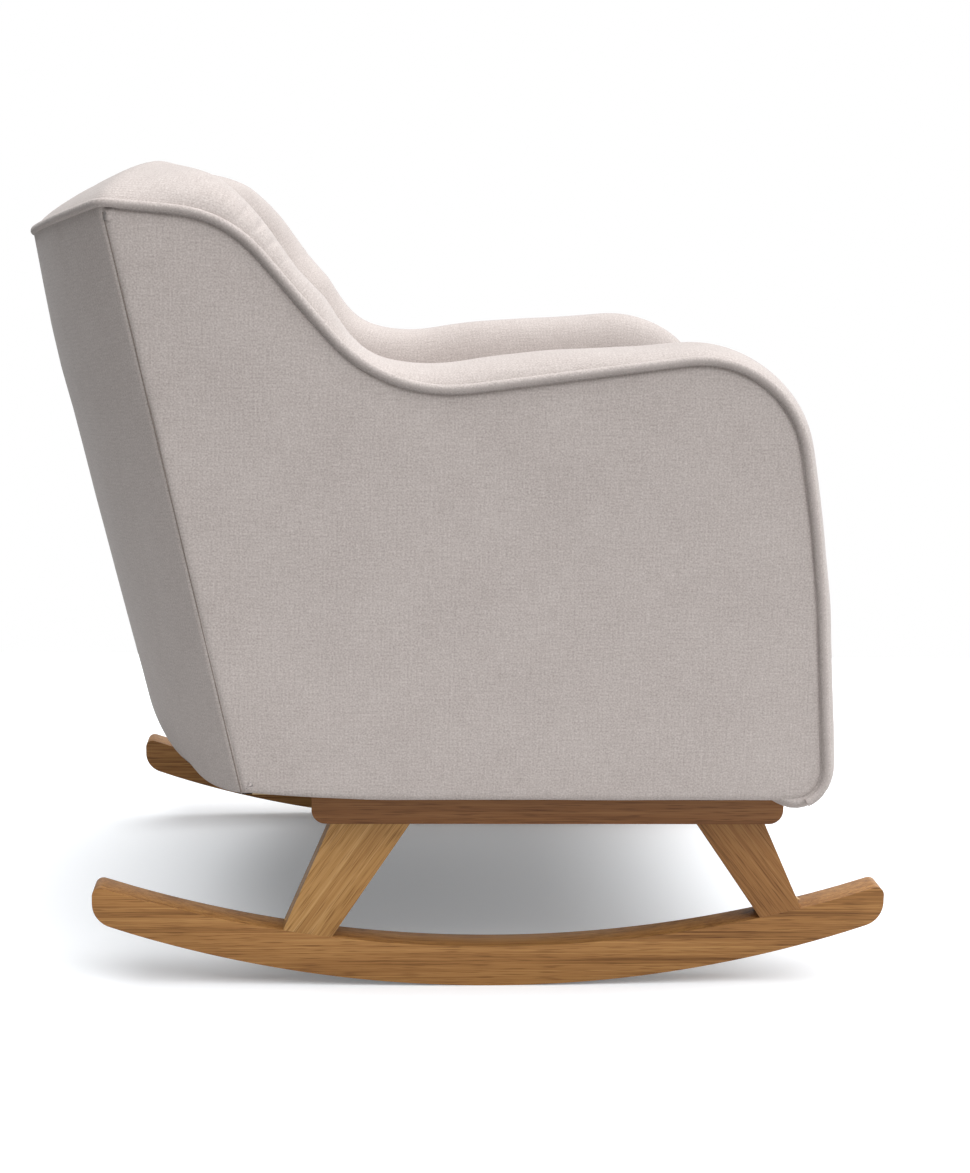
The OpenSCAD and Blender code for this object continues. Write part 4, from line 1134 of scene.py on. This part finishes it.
    def build(self) -> None:
        """Build and dress every cover of the body."""
        dressed(self.inner_cover(), Cloth.COVER, CHAIR, "arm_pad_left", "arm_pad_right", "shoulder_pad_left", "shoulder_pad_right",
                "inside_back_pad", "back_top_pad", fill=0.9)
        dressed(self.side_panel(1), Cloth.COVER, CHAIR, "outer_side_cover_left", fill=1.0)
        dressed(self.side_panel(-1), Cloth.COVER, CHAIR, "outer_side_cover_right", fill=1.0)
        dressed(self.back_panel(), Cloth.COVER, CHAIR, "outer_back_cover", fill=1.0)
        dressed(self.front_border(), Cloth.COVER, CHAIR, "front_border", fill=0.9)
        # Each rear corner seam gets a thin dark cord in its groove: painted shade that draws the groove's shadow line.
        for side, name in ((1, "left"), (-1, "right")):
            seam = piping_tube(f"corner_seam_{name}", self.seam_shade_line(side), self.seam_shade_r * MM, Cloth.SEAM_SHADE_CORD)
            dressed(seam, Cloth.SEAM_SHADE_CORD, CHAIR)
        tube = piping_tube("body_piping", self.piping_line(), self.piping_r * MM, Cloth.COVER)
        dressed(tube, Cloth.COVER, CHAIR, "piping_left", "piping_right", "back_piping")


def faces_towards(piece: bpy.types.Object, way: Vector) -> None:
    """Flip a piece's faces if its furthest face in a direction looks the other way."""
    furthest = max(piece.data.polygons, key=lambda p: p.center.dot(way))
    if furthest.normal.dot(way) < 0:
        piece.data.flip_normals()


def stir(piece: bpy.types.Object, height: float, size: float, seed: float, calm: Array | None, stretch: tuple[float, float, float] = (1, 1, 1)) -> None:
    """Give a cover the slight waviness of padding, along its normals.

    Args:
        piece: The cover.
        height: Height of the waves.
        size: Their size.
        seed: Picks the pattern.
        calm: Points near which the cover stays as it is, or None.
        stretch: Scale of the pattern along X, Y and Z.
    """
    mesh = piece.data
    co = np.empty(len(mesh.vertices) * 3, np.float32)
    no = np.empty_like(co)
    mesh.vertices.foreach_get("co", co)
    mesh.vertices.foreach_get("normal", no)
    co, no = co.reshape(-1, 3).astype(float), no.reshape(-1, 3).astype(float)
    wave = ripple(co * np.array(stretch), size, seed) + 0.4 * ripple(co * np.array(stretch), size / 2.7, seed + 4)
    if calm is not None:
        tree = KDTree(2 * len(calm))
        for i, p in enumerate(calm):
            tree.insert(p, i)
            tree.insert((-p[0], p[1], p[2]), i)
        tree.balance()
        near = np.array([tree.find(p)[2] for p in co])
        wave *= np.clip(near / 0.02, 0, 1)
    co += no * (wave * height)[:, None]
    mesh.vertices.foreach_set("co", co.astype(np.float32).ravel())
    mesh.update()


def rounded_loop(corners: Array, radii: Sequence[float], spacing: float) -> Array:
    """A closed outline with rounded corners, resampled evenly.

    Args:
        corners: Its corners in order.
        radii: Each corner's radius.
        spacing: Step between points.

    Returns:
        The loop's points, without a closing double.
    """
    out = []
    for i, r in enumerate(radii):
        p, before, after = corners[i], corners[i - 1], corners[(i + 1) % len(corners)]
        a, b = unit(before - p), unit(after - p)
        half = math.acos(float(np.clip(a @ b, -1, 1))) / 2
        reach = r / math.tan(half)
        for t in np.linspace(0, 1, 9):
            q0, q1, q2 = p + a * reach, p, p + b * reach
            out.append((1 - t) ** 2 * q0 + 2 * t * (1 - t) * q1 + t**2 * q2)
    loop = np.array(out + [out[0]])
    return resample(loop, spacing)[:-1]


# ---------------------------------------------------------------- pads made from outlines


def aligned(outline: Array, count: int) -> Array:
    """An outline with a set number of even points, from its front left corner, one way round."""
    x, y = outline[:, 0], outline[:, 1]
    if np.sum(x * np.roll(y, -1) - np.roll(x, -1) * y) < 0:
        outline = outline[::-1]
    start = int(np.argmin(np.round(outline[:, 1], 4) + outline[:, 0] * 1e-3))
    outline = np.roll(outline, -start, axis=0)
    closed = np.concatenate([outline, outline[:1]])
    run = arc_length(closed)
    at = np.linspace(0, run[-1], count + 1)[:-1]
    return np.stack([np.interp(at, run, closed[:, k]) for k in range(2)], axis=1)


@dataclass
class Pillow:
    """A boxed pad between two outlines: a top, a wall and a bottom that close on each other."""

    name: str
    top: Array
    bottom: Array
    top_z: float
    bottom_z: float
    crown: tuple[float, float] = (3.0, 1.0)
    edge: float = 5.0
    bulge: float = 3.0
    count: int = 420
    net: float = 14.0

    def build(self) -> bpy.types.Object:
        """Make the closed pad with its UV map in metres."""
        points, faces, uvs = [], [], []
        start = 0
        ends = []
        for outline, z, crown, way in ((self.top, self.top_z, self.crown[0], 1), (self.bottom, self.bottom_z, self.crown[1], -1)):
            flat, cover, depth = Panel(aligned(outline, self.count), net=self.net).build()
            rise = crown * MM * (1 - np.exp(-((depth / (90 * MM)) ** 1.3))) - turned_edge(depth, self.edge * MM)
            points.append(np.concatenate([flat, (z + way * rise)[:, None]], axis=1))
            faces += [tuple(v + start for v in f) for f in cover]
            uvs.append(flat)
            ends.append((start, points[-1][: self.count]))
            start += len(flat)
        (a, upper), (b, lower) = ends
        rows = np.linspace(0, 1, 12)
        away = upper[:, :2] - inset(upper[:, :2], 1 * MM)
        away = np.insert(unit(away), 2, 0, axis=1)
        wall = np.stack([upper * (1 - t) + lower * t + away * self.bulge * MM * math.sin(math.pi * t) for t in rows])
        run = np.append(arc_length(upper), 0)[: self.count]
        points.append(wall.reshape(-1, 3))
        faces += grid_faces(len(rows), self.count, wrap=True, start=start)
        uvs.append(np.stack([np.repeat(run[None], len(rows), 0), np.repeat((1 - rows)[:, None] * (self.top_z - self.bottom_z), self.count, 1)], axis=2).reshape(-1, 2))
        piece = mesh_piece(self.name, np.concatenate(points), faces, np.concatenate(uvs))
        face_out(piece, 2e-5)
        return piece


def inflated(piece: bpy.types.Object, held: Sequence[Array], voxel: float, pressure: float, cap: float) -> bpy.types.Object:
    """Blow a closed pad up as cloth, with its seams held, and keep the result.

    Args:
        piece: The closed pad, a little smaller than the finished one.
        held: Seam lines whose neighbourhood stays in place.
        voxel: Size of the cloth's squares.
        pressure: Air pressure.
        cap: Furthest that a point may move.

    Returns:
        The same piece, with plain mesh data.
    """
    remesh = piece.modifiers.new("even", "REMESH")
    remesh.mode = "VOXEL"
    remesh.voxel_size = voxel
    baked(piece)
    mesh = piece.data
    start = np.empty(len(mesh.vertices) * 3, np.float32)
    mesh.vertices.foreach_get("co", start)
    start = start.reshape(-1, 3)
    line = np.concatenate(held)
    tree = KDTree(len(line))
    for i, p in enumerate(line):
        tree.insert(p, i)
    tree.balance()
    near = np.array([tree.find(p)[2] for p in start])
    group = piece.vertex_groups.new(name="held")
    for i, d in enumerate(near):
        group.add([i], float(np.clip(1 - (d - 0.004) / 0.01, 0, 1)), "REPLACE")
    cloth = piece.modifiers.new("cloth", "CLOTH")
    settings = cloth.settings
    settings.quality = 4
    settings.mass = 0.3
    settings.use_pressure = True
    settings.uniform_pressure_force = pressure
    settings.effector_weights.gravity = 0
    settings.vertex_group_mass = "held"
    settings.tension_stiffness = settings.compression_stiffness = 12
    settings.shear_stiffness = 6
    settings.bending_stiffness = 0.6
    cloth.point_cache.frame_start, cloth.point_cache.frame_end = 1, 20
    scene = bpy.context.scene
    for step in range(1, 21):
        scene.frame_set(step)
    graph = bpy.context.evaluated_depsgraph_get()
    blown = bpy.data.meshes.new_from_object(piece.evaluated_get(graph), depsgraph=graph)
    moved = np.empty(len(blown.vertices) * 3, np.float32)
    blown.vertices.foreach_get("co", moved)
    step = moved.reshape(-1, 3) - start
    length = np.linalg.norm(step, axis=1, keepdims=True)
    step *= np.minimum(1, cap / np.maximum(length, 1e-9))
    piece.modifiers.clear()
    piece.vertex_groups.clear()
    mesh.vertices.foreach_set("co", (start + step).astype(np.float32).ravel())
    mesh.update()
    scene.frame_set(1)
    finer = piece.modifiers.new("finer", "SUBSURF")
    finer.levels = finer.render_levels = 1
    return baked(piece)


def box_uv(piece: bpy.types.Object) -> None:
    """Lay a piece's UV map out in metres, each face along the axis it looks."""
    mesh = piece.data
    layer = mesh.uv_layers.get("weave") or mesh.uv_layers.new(name="weave")
    co = np.empty(len(mesh.vertices) * 3, np.float32)
    mesh.vertices.foreach_get("co", co)
    co = co.reshape(-1, 3)
    loops = np.empty(len(mesh.loops), np.int32)
    mesh.loops.foreach_get("vertex_index", loops)
    normal = np.empty(len(mesh.polygons) * 3, np.float32)
    mesh.polygons.foreach_get("normal", normal)
    total = np.empty(len(mesh.polygons), np.int32)
    mesh.polygons.foreach_get("loop_total", total)
    axis = np.repeat(np.argmax(np.abs(normal.reshape(-1, 3)), axis=1), total)
    pairs = np.array([[1, 2], [0, 2], [0, 1]])[axis]
    layer.data.foreach_set("uv", np.take_along_axis(co[loops], pairs, axis=1).ravel())


@dataclass
class SeatCushion:
    """The loose seat cushion: boxed and crowned, with two welts and a zip in its rear wall."""

    shape: BodyShape
    welt_r: float = 3.0
    start_smaller: float = 3.0
    crown: tuple[float, float] = (7.0, 1.0)
    tooth_pitch: float = 3.0

    def outlines(self) -> tuple[Array, Array, float, float]:
        """The top and bottom outlines and their levels, from the CAD cushion."""
        low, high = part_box("seat_cushion")
        return rim("seat_cushion", 2, high.z), rim("seat_cushion", 2, low.z), high.z, low.z

    def welts(self) -> list[Array]:
        """The two welts' loops."""
        top, bottom, z1, z0 = self.outlines()
        lines = []
        for outline, z in ((top, z1 - 4 * MM), (bottom, z0 + 4 * MM)):
            even = aligned(outline, 560)
            even = smoothed(even, 3.0, closed=True)
            lines.append(np.insert(inset(even, -1.0 * MM), 2, z, axis=1))
        return lines

    def body(self) -> bpy.types.Object:
        """The cushion's body, blown up between its welts."""
        top, bottom, z1, z0 = self.outlines()
        less = self.start_smaller * MM
        pad = Pillow("seat_cushion_body", inset(top, less) if polygon_turn(top) > 0 else inset(top, less), inset(bottom, less),
                     z1 - 3 * MM, z0 + 2 * MM, self.crown, 6.0, 1.0).build()
        inflated(pad, self.welts(), 8 * MM, 4.0, 22 * MM)
        low = z0 + 0.5 * MM
        co = np.empty(len(pad.data.vertices) * 3, np.float32)
        pad.data.vertices.foreach_get("co", co)
        co = co.reshape(-1, 3)
        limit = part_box("seat_cushion")[1].x + 6 * MM
        co[:, 2] = np.maximum(co[:, 2], low)
        co[:, 0] = np.clip(co[:, 0], -limit, limit)
        pad.data.vertices.foreach_set("co", co.ravel())
        pad.data.update()
        stir(pad, 1.2 * MM, 0.12, 9.0, None)
        box_uv(pad)
        pad.data.shade_smooth()
        return pad

    def rear_line(self, up: float, out: float, half: float, count: int = 200) -> Array:
        """A line along the curved rear wall, at a height of its middle.

        Args:
            up: Height over the zip's middle.
            out: Distance behind the wall.
            half: Half its length.
            count: Number of points.

        Returns:
            The points in the chair's frame.
        """
        s = self.shape
        local = s.to_back(node_points("cushion_zip"))
        radius = float(np.hypot(local[:, 0], local[:, 1] - s.centre).min())
        middle = (local[:, 2].min() + local[:, 2].max()) / 2
        turns = np.linspace(-half, half, count) / radius
        r = radius + out
        return s.from_back(np.stack([r * np.sin(turns), s.centre + r * np.cos(turns), np.full(count, middle + up)], axis=1))

    def zip_tape(self) -> bpy.types.Object:
        """The zip's tape, following the rear wall."""
        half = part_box("cushion_zip")[1].x
        rows = [self.rear_line(h * MM, 0.6 * MM + (0.5 * MM if abs(h) < 3 else 0), half) for h in (-13, -12, -8, -3.5, -2.5, 2.5, 3.5, 8, 12, 13)]
        points = np.stack(rows)
        run = arc_length(rows[0])
        uv = np.stack([np.repeat(run[None], len(rows), 0), np.repeat(np.linspace(0, 26 * MM, len(rows))[:, None], len(run), 1)], axis=2)
        piece = mesh_piece("zip_tape", points.reshape(-1, 3), grid_faces(*points.shape[:2]), uv.reshape(-1, 2))
        face_out(piece)
        faces_towards(piece, Vector((0, 1, 0)))
        return thickened(piece, 1.0 * MM)

    def zip_teeth(self) -> bpy.types.Object:
        """The zip's moulded teeth, set along its middle."""
        path = self.rear_line(0, 1.9 * MM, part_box("cushion_zip")[1].x - 3 * MM, 400)
        return set_along("zip_teeth", path, self.tooth_pitch * MM, (1.5 * MM, 4.2 * MM, 1.6 * MM), PlatedSteel("zip_nickel", "zip_metal", "#9a9b9d", 0.35))

    def build(self) -> None:
        """Build and dress the cushion's pieces."""
        dressed(self.body(), Cloth.COVER, CUSHION, "seat_cushion", fill=0.85)
        for name, line in zip(("cushion_welt_top", "cushion_welt_bottom"), self.welts()):
            tube = piping_tube(name, line, self.welt_r * MM, Cloth.COVER, closed=True)
            dressed(tube, Cloth.COVER, CUSHION, "cushion_piping")
        dressed(self.zip_tape(), Cloth.TAPE, CUSHION, "cushion_zip")
        dressed(self.zip_teeth(), PlatedSteel("zip_nickel", "zip_metal", "#9a9b9d", 0.35), CUSHION)
        for side in (-1, 1):
            path = self.rear_line(side * 9 * MM, 1.3 * MM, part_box("cushion_zip")[1].x - 2 * MM, 400)
            name = f"zip_stitches_{'upper' if side > 0 else 'lower'}"
            dressed(set_along(name, path, 4.5 * MM, (3.2 * MM, 0.7 * MM, 0.5 * MM), Cloth.THREAD), Cloth.THREAD, CUSHION)


def polygon_turn(outline: Array) -> float:
    """Twice the signed area of an outline."""
    x, y = outline[:, 0], outline[:, 1]
    return float(np.sum(x * np.roll(y, -1) - np.roll(x, -1) * y))


def set_along(name: str, path: Array, pitch: float, size: tuple[float, float, float], finish: Any, closed: bool = False) -> bpy.types.Object:
    """Set small rounded bars along a path by Geometry Nodes, as stitches, teeth or staples.

    Args:
        name: Name of the piece.
        path: The path.
        pitch: Distance between bars.
        size: A bar's length along the path, its width and its height.
        finish: Its finish.
        closed: Whether the path is a loop.

    Returns:
        One piece with all the bars.
    """
    inputs = [NodesInput("Pitch", "NodeSocketFloat", pitch), NodesInput("Size", "NodeSocketVector", size),
              NodesInput("Finish", "NodeSocketMaterial", material_of(finish))]
    tree, start, end = nodes_tree(name + "_row", inputs)
    spaced = add_node(tree, "GeometryNodeCurveToPoints", {"Curve": start.outputs["Geometry"], "Length": start.outputs["Pitch"]}, mode="LENGTH")
    bar = add_node(tree, "GeometryNodeMeshUVSphere", {"Segments": 8, "Rings": 5, "Radius": 0.5})
    uv = add_node(tree, "GeometryNodeStoreNamedAttribute", {"Geometry": bar.outputs["Mesh"], "Name": "weave", "Value": bar.outputs["UV Map"]},
                  data_type="FLOAT2", domain="CORNER")
    copies = add_node(tree, "GeometryNodeInstanceOnPoints", {"Points": spaced.outputs["Points"], "Instance": uv.outputs["Geometry"],
                      "Rotation": spaced.outputs["Rotation"], "Scale": start.outputs["Size"]})
    real = add_node(tree, "GeometryNodeRealizeInstances", {"Geometry": copies.outputs["Instances"]})
    done = add_node(tree, "GeometryNodeSetMaterial", {"Geometry": real.outputs["Geometry"], "Material": start.outputs["Finish"]})
    tree.links.new(done.outputs["Geometry"], end.inputs["Geometry"])
    made = run_nodes(curve_object(name + "_path", path, closed), tree, inputs, name)
    if not made.data.uv_layers:
        box_uv(made)
    made.data.shade_smooth()
    face_out(made)
    return made


# ---------------------------------------------------------------- under and inside the body


@dataclass
class SeatBase:
    """What lies under the cushion: the padded deck, the straps of the back and the dust cover."""

    shape: BodyShape
    staple_pitch: float = 38.0

    def deck(self) -> bpy.types.Object:
        """The padded deck over the springs."""
        low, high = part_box("seat_deck_pad")
        top, bottom = rim("seat_deck_pad", 2, high.z), rim("seat_deck_pad", 2, low.z)
        return Pillow("seat_deck", top, bottom, high.z - 2.5 * MM, low.z, (2.0, 0.0), 6.0, 0.0, 300, 22.0).build()

    def straps(self) -> bpy.types.Object:
        """The elastic straps across the back, with their ribbed edges."""
        local = self.shape.to_back(node_points("back_webbing"))
        levels = np.unique(np.round(local[:, 2], 4))
        r = float(np.hypot(local[:, 0], local[:, 1] - self.shape.centre).min())
        half = math.asin(local[:, 0].max() / (r + 1 * MM))
        turns = np.linspace(-half, half, 80)
        points, faces, uvs = [], [], []
        for low, high in zip(levels[::2], levels[1::2]):
            rows = []
            for t in np.linspace(0, 1, 21):
                thick = 0.5 * MM + (0.4 * MM if int(round(t * 20)) % 4 == 0 else 0.0)
                rr = r + 1 * MM - thick
                rows.append(np.stack([rr * np.sin(turns), self.shape.centre + rr * np.cos(turns), np.full(80, low + (high - low) * t)], axis=1))
            start = sum(len(p) for p in points)
            points.append(self.shape.from_back(np.concatenate(rows)))
            faces += grid_faces(21, 80, start=start)
            uvs.append(np.stack([np.tile(turns * r, 21), np.repeat(np.linspace(0, high - low, 21), 80)], axis=1))
        piece = mesh_piece("back_straps", np.concatenate(points), faces, np.concatenate(uvs))
        face_out(piece)
        faces_towards(piece, Vector((0, -1, 0)))
        return thickened(piece, 1.1 * MM)

    def dust_sheet(self) -> tuple[bpy.types.Object, Array]:
        """The dust cover, cut to the frame's underside and pulled flat."""
        low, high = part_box("dust_cover")
        outline = aligned(largest_rim("dust_cover", low.z), 420)
        flat, faces, depth = Panel(outline, net=20.0).build()
        level = (low.z + high.z) / 2
        sag = 0.25 * MM * ripple(np.insert(flat, 2, 0, axis=1), 0.07, 3.0) * np.clip(depth / 0.03, 0, 1)
        piece = mesh_piece("dust_sheet", np.concatenate([flat, (level + sag)[:, None]], axis=1), faces, flat)
        face_out(piece)
        faces_towards(piece, Vector((0, 0, -1)))
        thickened(piece, 0.5 * MM)
        return piece, np.insert(aligned(inset(outline, 12 * MM), 420), 2, low.z - 0.1 * MM, axis=1)

    def build(self) -> None:
        """Build and dress the deck, the straps, the dust cover and its staples."""
        dressed(self.deck(), Cloth.DECK, CHAIR, "seat_deck_pad", fill=0.9)
        dressed(self.straps(), Cloth.STRAP, CHAIR, "back_webbing")
        sheet, line = self.dust_sheet()
        dressed(sheet, Cloth.DUST, CHAIR, "dust_cover")
        staple = PlatedSteel("staple_steel", "steel", "#a9abad", 0.4)
        dressed(set_along("dust_cover_staples", line, self.staple_pitch * MM, (10 * MM, 1.0 * MM, 0.8 * MM), staple, closed=True), staple, CHAIR)


def largest_rim(node: str, level: float) -> Array:
    """The outer outline of a node's flat face at a level of Z, without its holes."""
    mesh = frame["nodes"][node].data
    mesh.calc_loop_triangles()
    points, where = np.unique(np.round(node_points(node), 5), axis=0, return_inverse=True)
    where = where.ravel()
    flat = np.abs(points[:, 2] - level) < 2e-5
    ways = set()
    for triangle in mesh.loop_triangles:
        a, b, c = (int(where[v]) for v in triangle.vertices)
        if flat[a] and flat[b] and flat[c]:
            ways.update(((a, b), (b, c), (c, a)))
    follow = {a: b for a, b in ways if (b, a) not in ways}
    best: list[int] = []
    while follow:
        chain = [min(follow)]
        while chain[-1] in follow:
            nxt = follow.pop(chain[-1])
            if nxt == chain[0]:
                break
            chain.append(nxt)
        if len(chain) > 2 and (not best or np.ptp(points[chain, 0]) > np.ptp(points[best, 0])):
            best = chain
    return points[best][:, :2]


# ---------------------------------------------------------------- timber and metal


def eased(node: str, name: str, width: float) -> bpy.types.Object:
    """A copy of a CAD board with its sharp edges eased, as a sander leaves them.

    Args:
        node: The CAD node.
        name: Name of the new piece.
        width: Width of the eased edge in millimetres.

    Returns:
        The new piece, smooth along its curves and crisp at its edges.
    """
    work = bmesh.new()
    work.from_mesh(frame["nodes"][node].data)
    bmesh.ops.remove_doubles(work, verts=work.verts, dist=1e-5)
    bmesh.ops.recalc_face_normals(work, faces=work.faces)
    bmesh.ops.dissolve_limit(work, angle_limit=math.radians(0.25), verts=work.verts, edges=work.edges)
    mesh = bpy.data.meshes.new(name)
    work.to_mesh(mesh)
    work.free()
    piece = bpy.data.objects.new(name, mesh)
    bpy.context.scene.collection.objects.link(piece)
    bevel = piece.modifiers.new("eased", "BEVEL")
    bevel.width = width * MM
    bevel.segments = 3
    bevel.limit_method = "ANGLE"
    bevel.angle_limit = math.radians(35)
    bevel.use_clamp_overlap = True
    baked(piece)
    work = bmesh.new()
    work.from_mesh(piece.data)
    bmesh.ops.triangulate(work, faces=[f for f in work.faces if len(f.verts) > 4])
    for edge in work.edges:
        edge.smooth = not (len(edge.link_faces) == 2 and edge.calc_face_angle(0) > math.radians(28))
    for face in work.faces:
        face.smooth = True
    work.to_mesh(piece.data)
    work.free()
    return piece


class Place(Enum):
    """Where an oak board lies. finish() gives each place its grain's slant in degrees and its colour, which holds
    painted light and shade besides the board's own tone.
    """

    ROCKER = "rocker"
    FRONT_LEG = "front_leg"
    REAR_LEG = "rear_leg"
    RAIL = "base_rail"
    CROSS = "base_cross_rail"


@dataclass
class OakBase:
    """The oak base: two runners, four slanted legs, two long rails and two cross rails."""

    ease: float = 1.3

    def finish(self, place: Place, seed: float) -> OakBoard:
        """The finish of one board.

        Args:
            place: Where the board lies.
            seed: Shift of the grain, so that no two boards look the same.

        Returns:
            The board's finish.
        """
        name = f"oak_{place.value}_{int(seed * 10)}"
        # One oak in five colours. The differences are partly each board's own tone and partly painted light and shade:
        # the long rails, in the shade under the body, are painted darkest, and the darker front legs and lighter rear
        # legs are lit and shaded copies too.
        if place is Place.ROCKER:
            return OakBoard(name, colour="#a17240", dark="#704821", light="#b48650", seed=seed)
        if place is Place.FRONT_LEG:
            return OakBoard(name, colour="#96683a", dark="#795029", light="#a57847", slant=52.0, seed=seed)
        if place is Place.REAR_LEG:
            return OakBoard(name, colour="#b58850", dark="#996b3a", light="#c59a64", slant=-55.0, seed=seed)
        if place is Place.CROSS:
            return OakBoard(name, colour="#a97b4a", dark="#7f5733", light="#bd925f", along=0, seed=seed)
        return OakBoard(name, colour="#8c5d34", dark="#704523", light="#9b6c41", seed=seed)

    def build(self) -> None:
        """Build and dress the boards."""
        boards = [(Place.ROCKER, s) for s in ("left", "right")] + [(Place.FRONT_LEG, s) for s in ("left", "right")]
        boards += [(Place.REAR_LEG, s) for s in ("left", "right")] + [(Place.RAIL, s) for s in ("left", "right")]
        boards += [(Place.CROSS, s) for s in ("front", "rear")]
        for number, (place, which) in enumerate(boards):
            node = f"{place.value}_{which}"
            piece = eased(node, f"{node}_board", self.ease)
            dressed(piece, self.finish(place, 0.3 + number * 0.7), CHAIR, node)


@dataclass
class HiddenFrame:
    """The timber and steel inside the body, kept from the CAD model with real finishes."""

    finishes: dict[str, Any] = field(default_factory=lambda: {
        "beech": PlainTimber("planed_beech", "beech", "#cfae84", "#b08d62"),
        "plywood": PlainTimber("birch_plywood", "plywood", "#c9ad83", "#a88a60", (60.0, 18.0, 5.0)),
        "steel": PlatedSteel("zinc_plate", "steel"),
        "zip_metal": PlatedSteel("zip_nickel", "zip_metal", "#9a9b9d", 0.35)})

    def build(self) -> None:
        """Give every CAD node that stays its finish."""
        slots = {entry["node"]: entry["material_slot"] for entry in frame["record"]["subparts"]}
        for name, node in sorted(frame["nodes"].items()):
            if node.hide_render:
                continue
            finish = self.finishes.get(slots.get(name, ""))
            if finish is None:
                LOG.warning("%s has no finish for slot %s", name, slots.get(name))
                continue
            material = material_of(finish)
            if not node.material_slots:
                node.data.materials.append(material)
            for holder in node.material_slots:
                holder.material = material
            LOG.info("%s: CAD node in %s", name, finish.name)


# ---------------------------------------------------------------- studio


@dataclass
class Studio:
    """A plain pale floor with a faint painted glow, soft white light and the camera."""

    lens: float = 65.06
    roll: float = 1.2
    floor_half: float = 1.3
    key: float = 3.4
    key_from: tuple[float, float, float] = (-0.14, -0.12, 0.98)
    softness: float = 85.0
    fill: float = 0.97
    rear_fill: float = 0.12
    low_fill: float = 0.22
    # The floor's glow for the camera: painted light that brightens the chair's shadow on it. The bounce colour, which
    # all other rays see, is mid-grey, so the floor throws less light up onto the chair: painted shade on the chair's
    # lower parts.
    floor_glow: float = 0.16
    bounce: tuple[float, float, float, float] = (0.5, 0.5, 0.5, 1.0)

    def floor(self) -> None:
        """The pale floor that takes the chair's shadow. For the camera it glows faintly blue-white, which is painted
        light that brightens that shadow. All other rays see it mid-grey, so it throws less light up onto the chair.
        """
        points = np.array([[-1, -1, 0], [1, -1, 0], [1, 1, 0], [-1, 1, 0]]) * self.floor_half
        piece = mesh_piece("studio_floor", points, [(0, 1, 2, 3)], points[:, :2])
        material, tree, shader = new_material("floor_paint_and_painted_glow")
        seat = add_node(tree, "ShaderNodeTexCoord").outputs["Object"]
        dust = add_node(tree, "ShaderNodeTexNoise", {"Vector": seat, "Scale": 3.0, "Detail": 2.0})
        ramp = ramp_node(tree, dust.outputs[0], [(0.3, (0.90, 0.92, 0.945, 1)), (0.7, (0.915, 0.935, 0.96, 1))])
        # Painted light: the camera sees the pale floor plus a faint blue-white glow that lightens the shadow on it.
        # Every other ray sees the grey bounce colour and no glow.
        seen = add_node(tree, "ShaderNodeLightPath").outputs["Is Camera Ray"]
        colour = add_node(tree, "ShaderNodeMix", {"Factor": seen, "A": self.bounce, "B": ramp.outputs["Color"]}, data_type="RGBA")
        glow = add_node(tree, "ShaderNodeMath", {0: seen, 1: self.floor_glow}, operation="MULTIPLY")
        tree.links.new(colour.outputs["Result"], shader.inputs["Base Color"])
        shader.inputs["Emission Color"].default_value = (0.93, 0.97, 1.0, 1)
        tree.links.new(glow.outputs[0], shader.inputs["Emission Strength"])
        shader.inputs["Roughness"].default_value = 0.9
        shader.inputs["Specular IOR Level"].default_value = 0.1
        piece.data.materials.append(material)

    def sun(self) -> None:
        """The main light: large and soft, high over the chair's front."""
        light = bpy.data.lights.new("soft_key", "SUN")
        light.energy = self.key
        light.angle = math.radians(self.softness)
        made = bpy.data.objects.new("soft_key", light)
        made.rotation_euler = Vector(self.key_from).to_track_quat("Z", "Y").to_euler()
        bpy.context.scene.collection.objects.link(made)

    def camera(self) -> None:
        """The camera, low and far at the chair's right, looking across it."""
        low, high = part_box("rocker_left")
        middle = (low.y + high.y) / 2
        place = Vector((-2.3376, middle + 0.1576, 0.7610))
        aim = Vector((-0.3150, middle + 0.0145, 0.4068))
        data = bpy.data.cameras.new("camera")
        data.lens = self.lens
        data.sensor_width = 36.0
        data.sensor_fit = "AUTO"
        made = bpy.data.objects.new("camera", data)
        turn = (aim - place).to_track_quat("-Z", "Y").to_matrix() @ Matrix.Rotation(math.radians(self.roll), 3, "Z")
        made.matrix_world = Matrix.Translation(place) @ turn.to_4x4()
        bpy.context.scene.collection.objects.link(made)
        bpy.context.scene.camera = made

    def build(self) -> None:
        """Set up floor, light and camera."""
        self.floor()
        world = bpy.data.worlds.new("studio")
        world.use_nodes = True
        sky = world.node_tree
        rays = add_node(sky, "ShaderNodeLightPath")
        way = add_node(sky, "ShaderNodeTexCoord")
        parts = add_node(sky, "ShaderNodeSeparateXYZ", {"Vector": way.outputs["Generated"]})
        rear = add_node(sky, "ShaderNodeMapRange", {"Value": parts.outputs["Y"], "From Min": -0.3, "From Max": 0.7, "To Min": self.fill, "To Max": self.rear_fill})
        low = add_node(sky, "ShaderNodeMapRange", {"Value": parts.outputs["Z"], "From Min": -0.5, "From Max": -0.05, "To Min": self.low_fill, "To Max": 1.0})
        shade = add_node(sky, "ShaderNodeMath", {0: rear.outputs[0], 1: low.outputs[0]}, operation="MULTIPLY")
        level = add_node(sky, "ShaderNodeMix", {"Factor": rays.outputs["Is Camera Ray"], "A": shade.outputs[0], "B": 1.0}, data_type="FLOAT")
        sky.links.new(level.outputs[0], sky.nodes["Background"].inputs["Strength"])
        sky.nodes["Background"].inputs["Color"].default_value = (1.0, 1.0, 1.0, 1)
        bpy.context.scene.world = world
        bpy.context.scene.view_settings.view_transform = "Standard"
        self.sun()
        self.camera()


def main() -> None:
    """Build the chair's looks in order."""
    logging.basicConfig(level=logging.INFO, format="%(name)s: %(message)s")
    shape = BodyShape()
    Studio().build()
    Upholstery(shape).build()
    SeatCushion(shape).build()
    SeatBase(shape).build()
    OakBase().build()
    HiddenFrame().build()


if __name__ == "__main__":
    main()
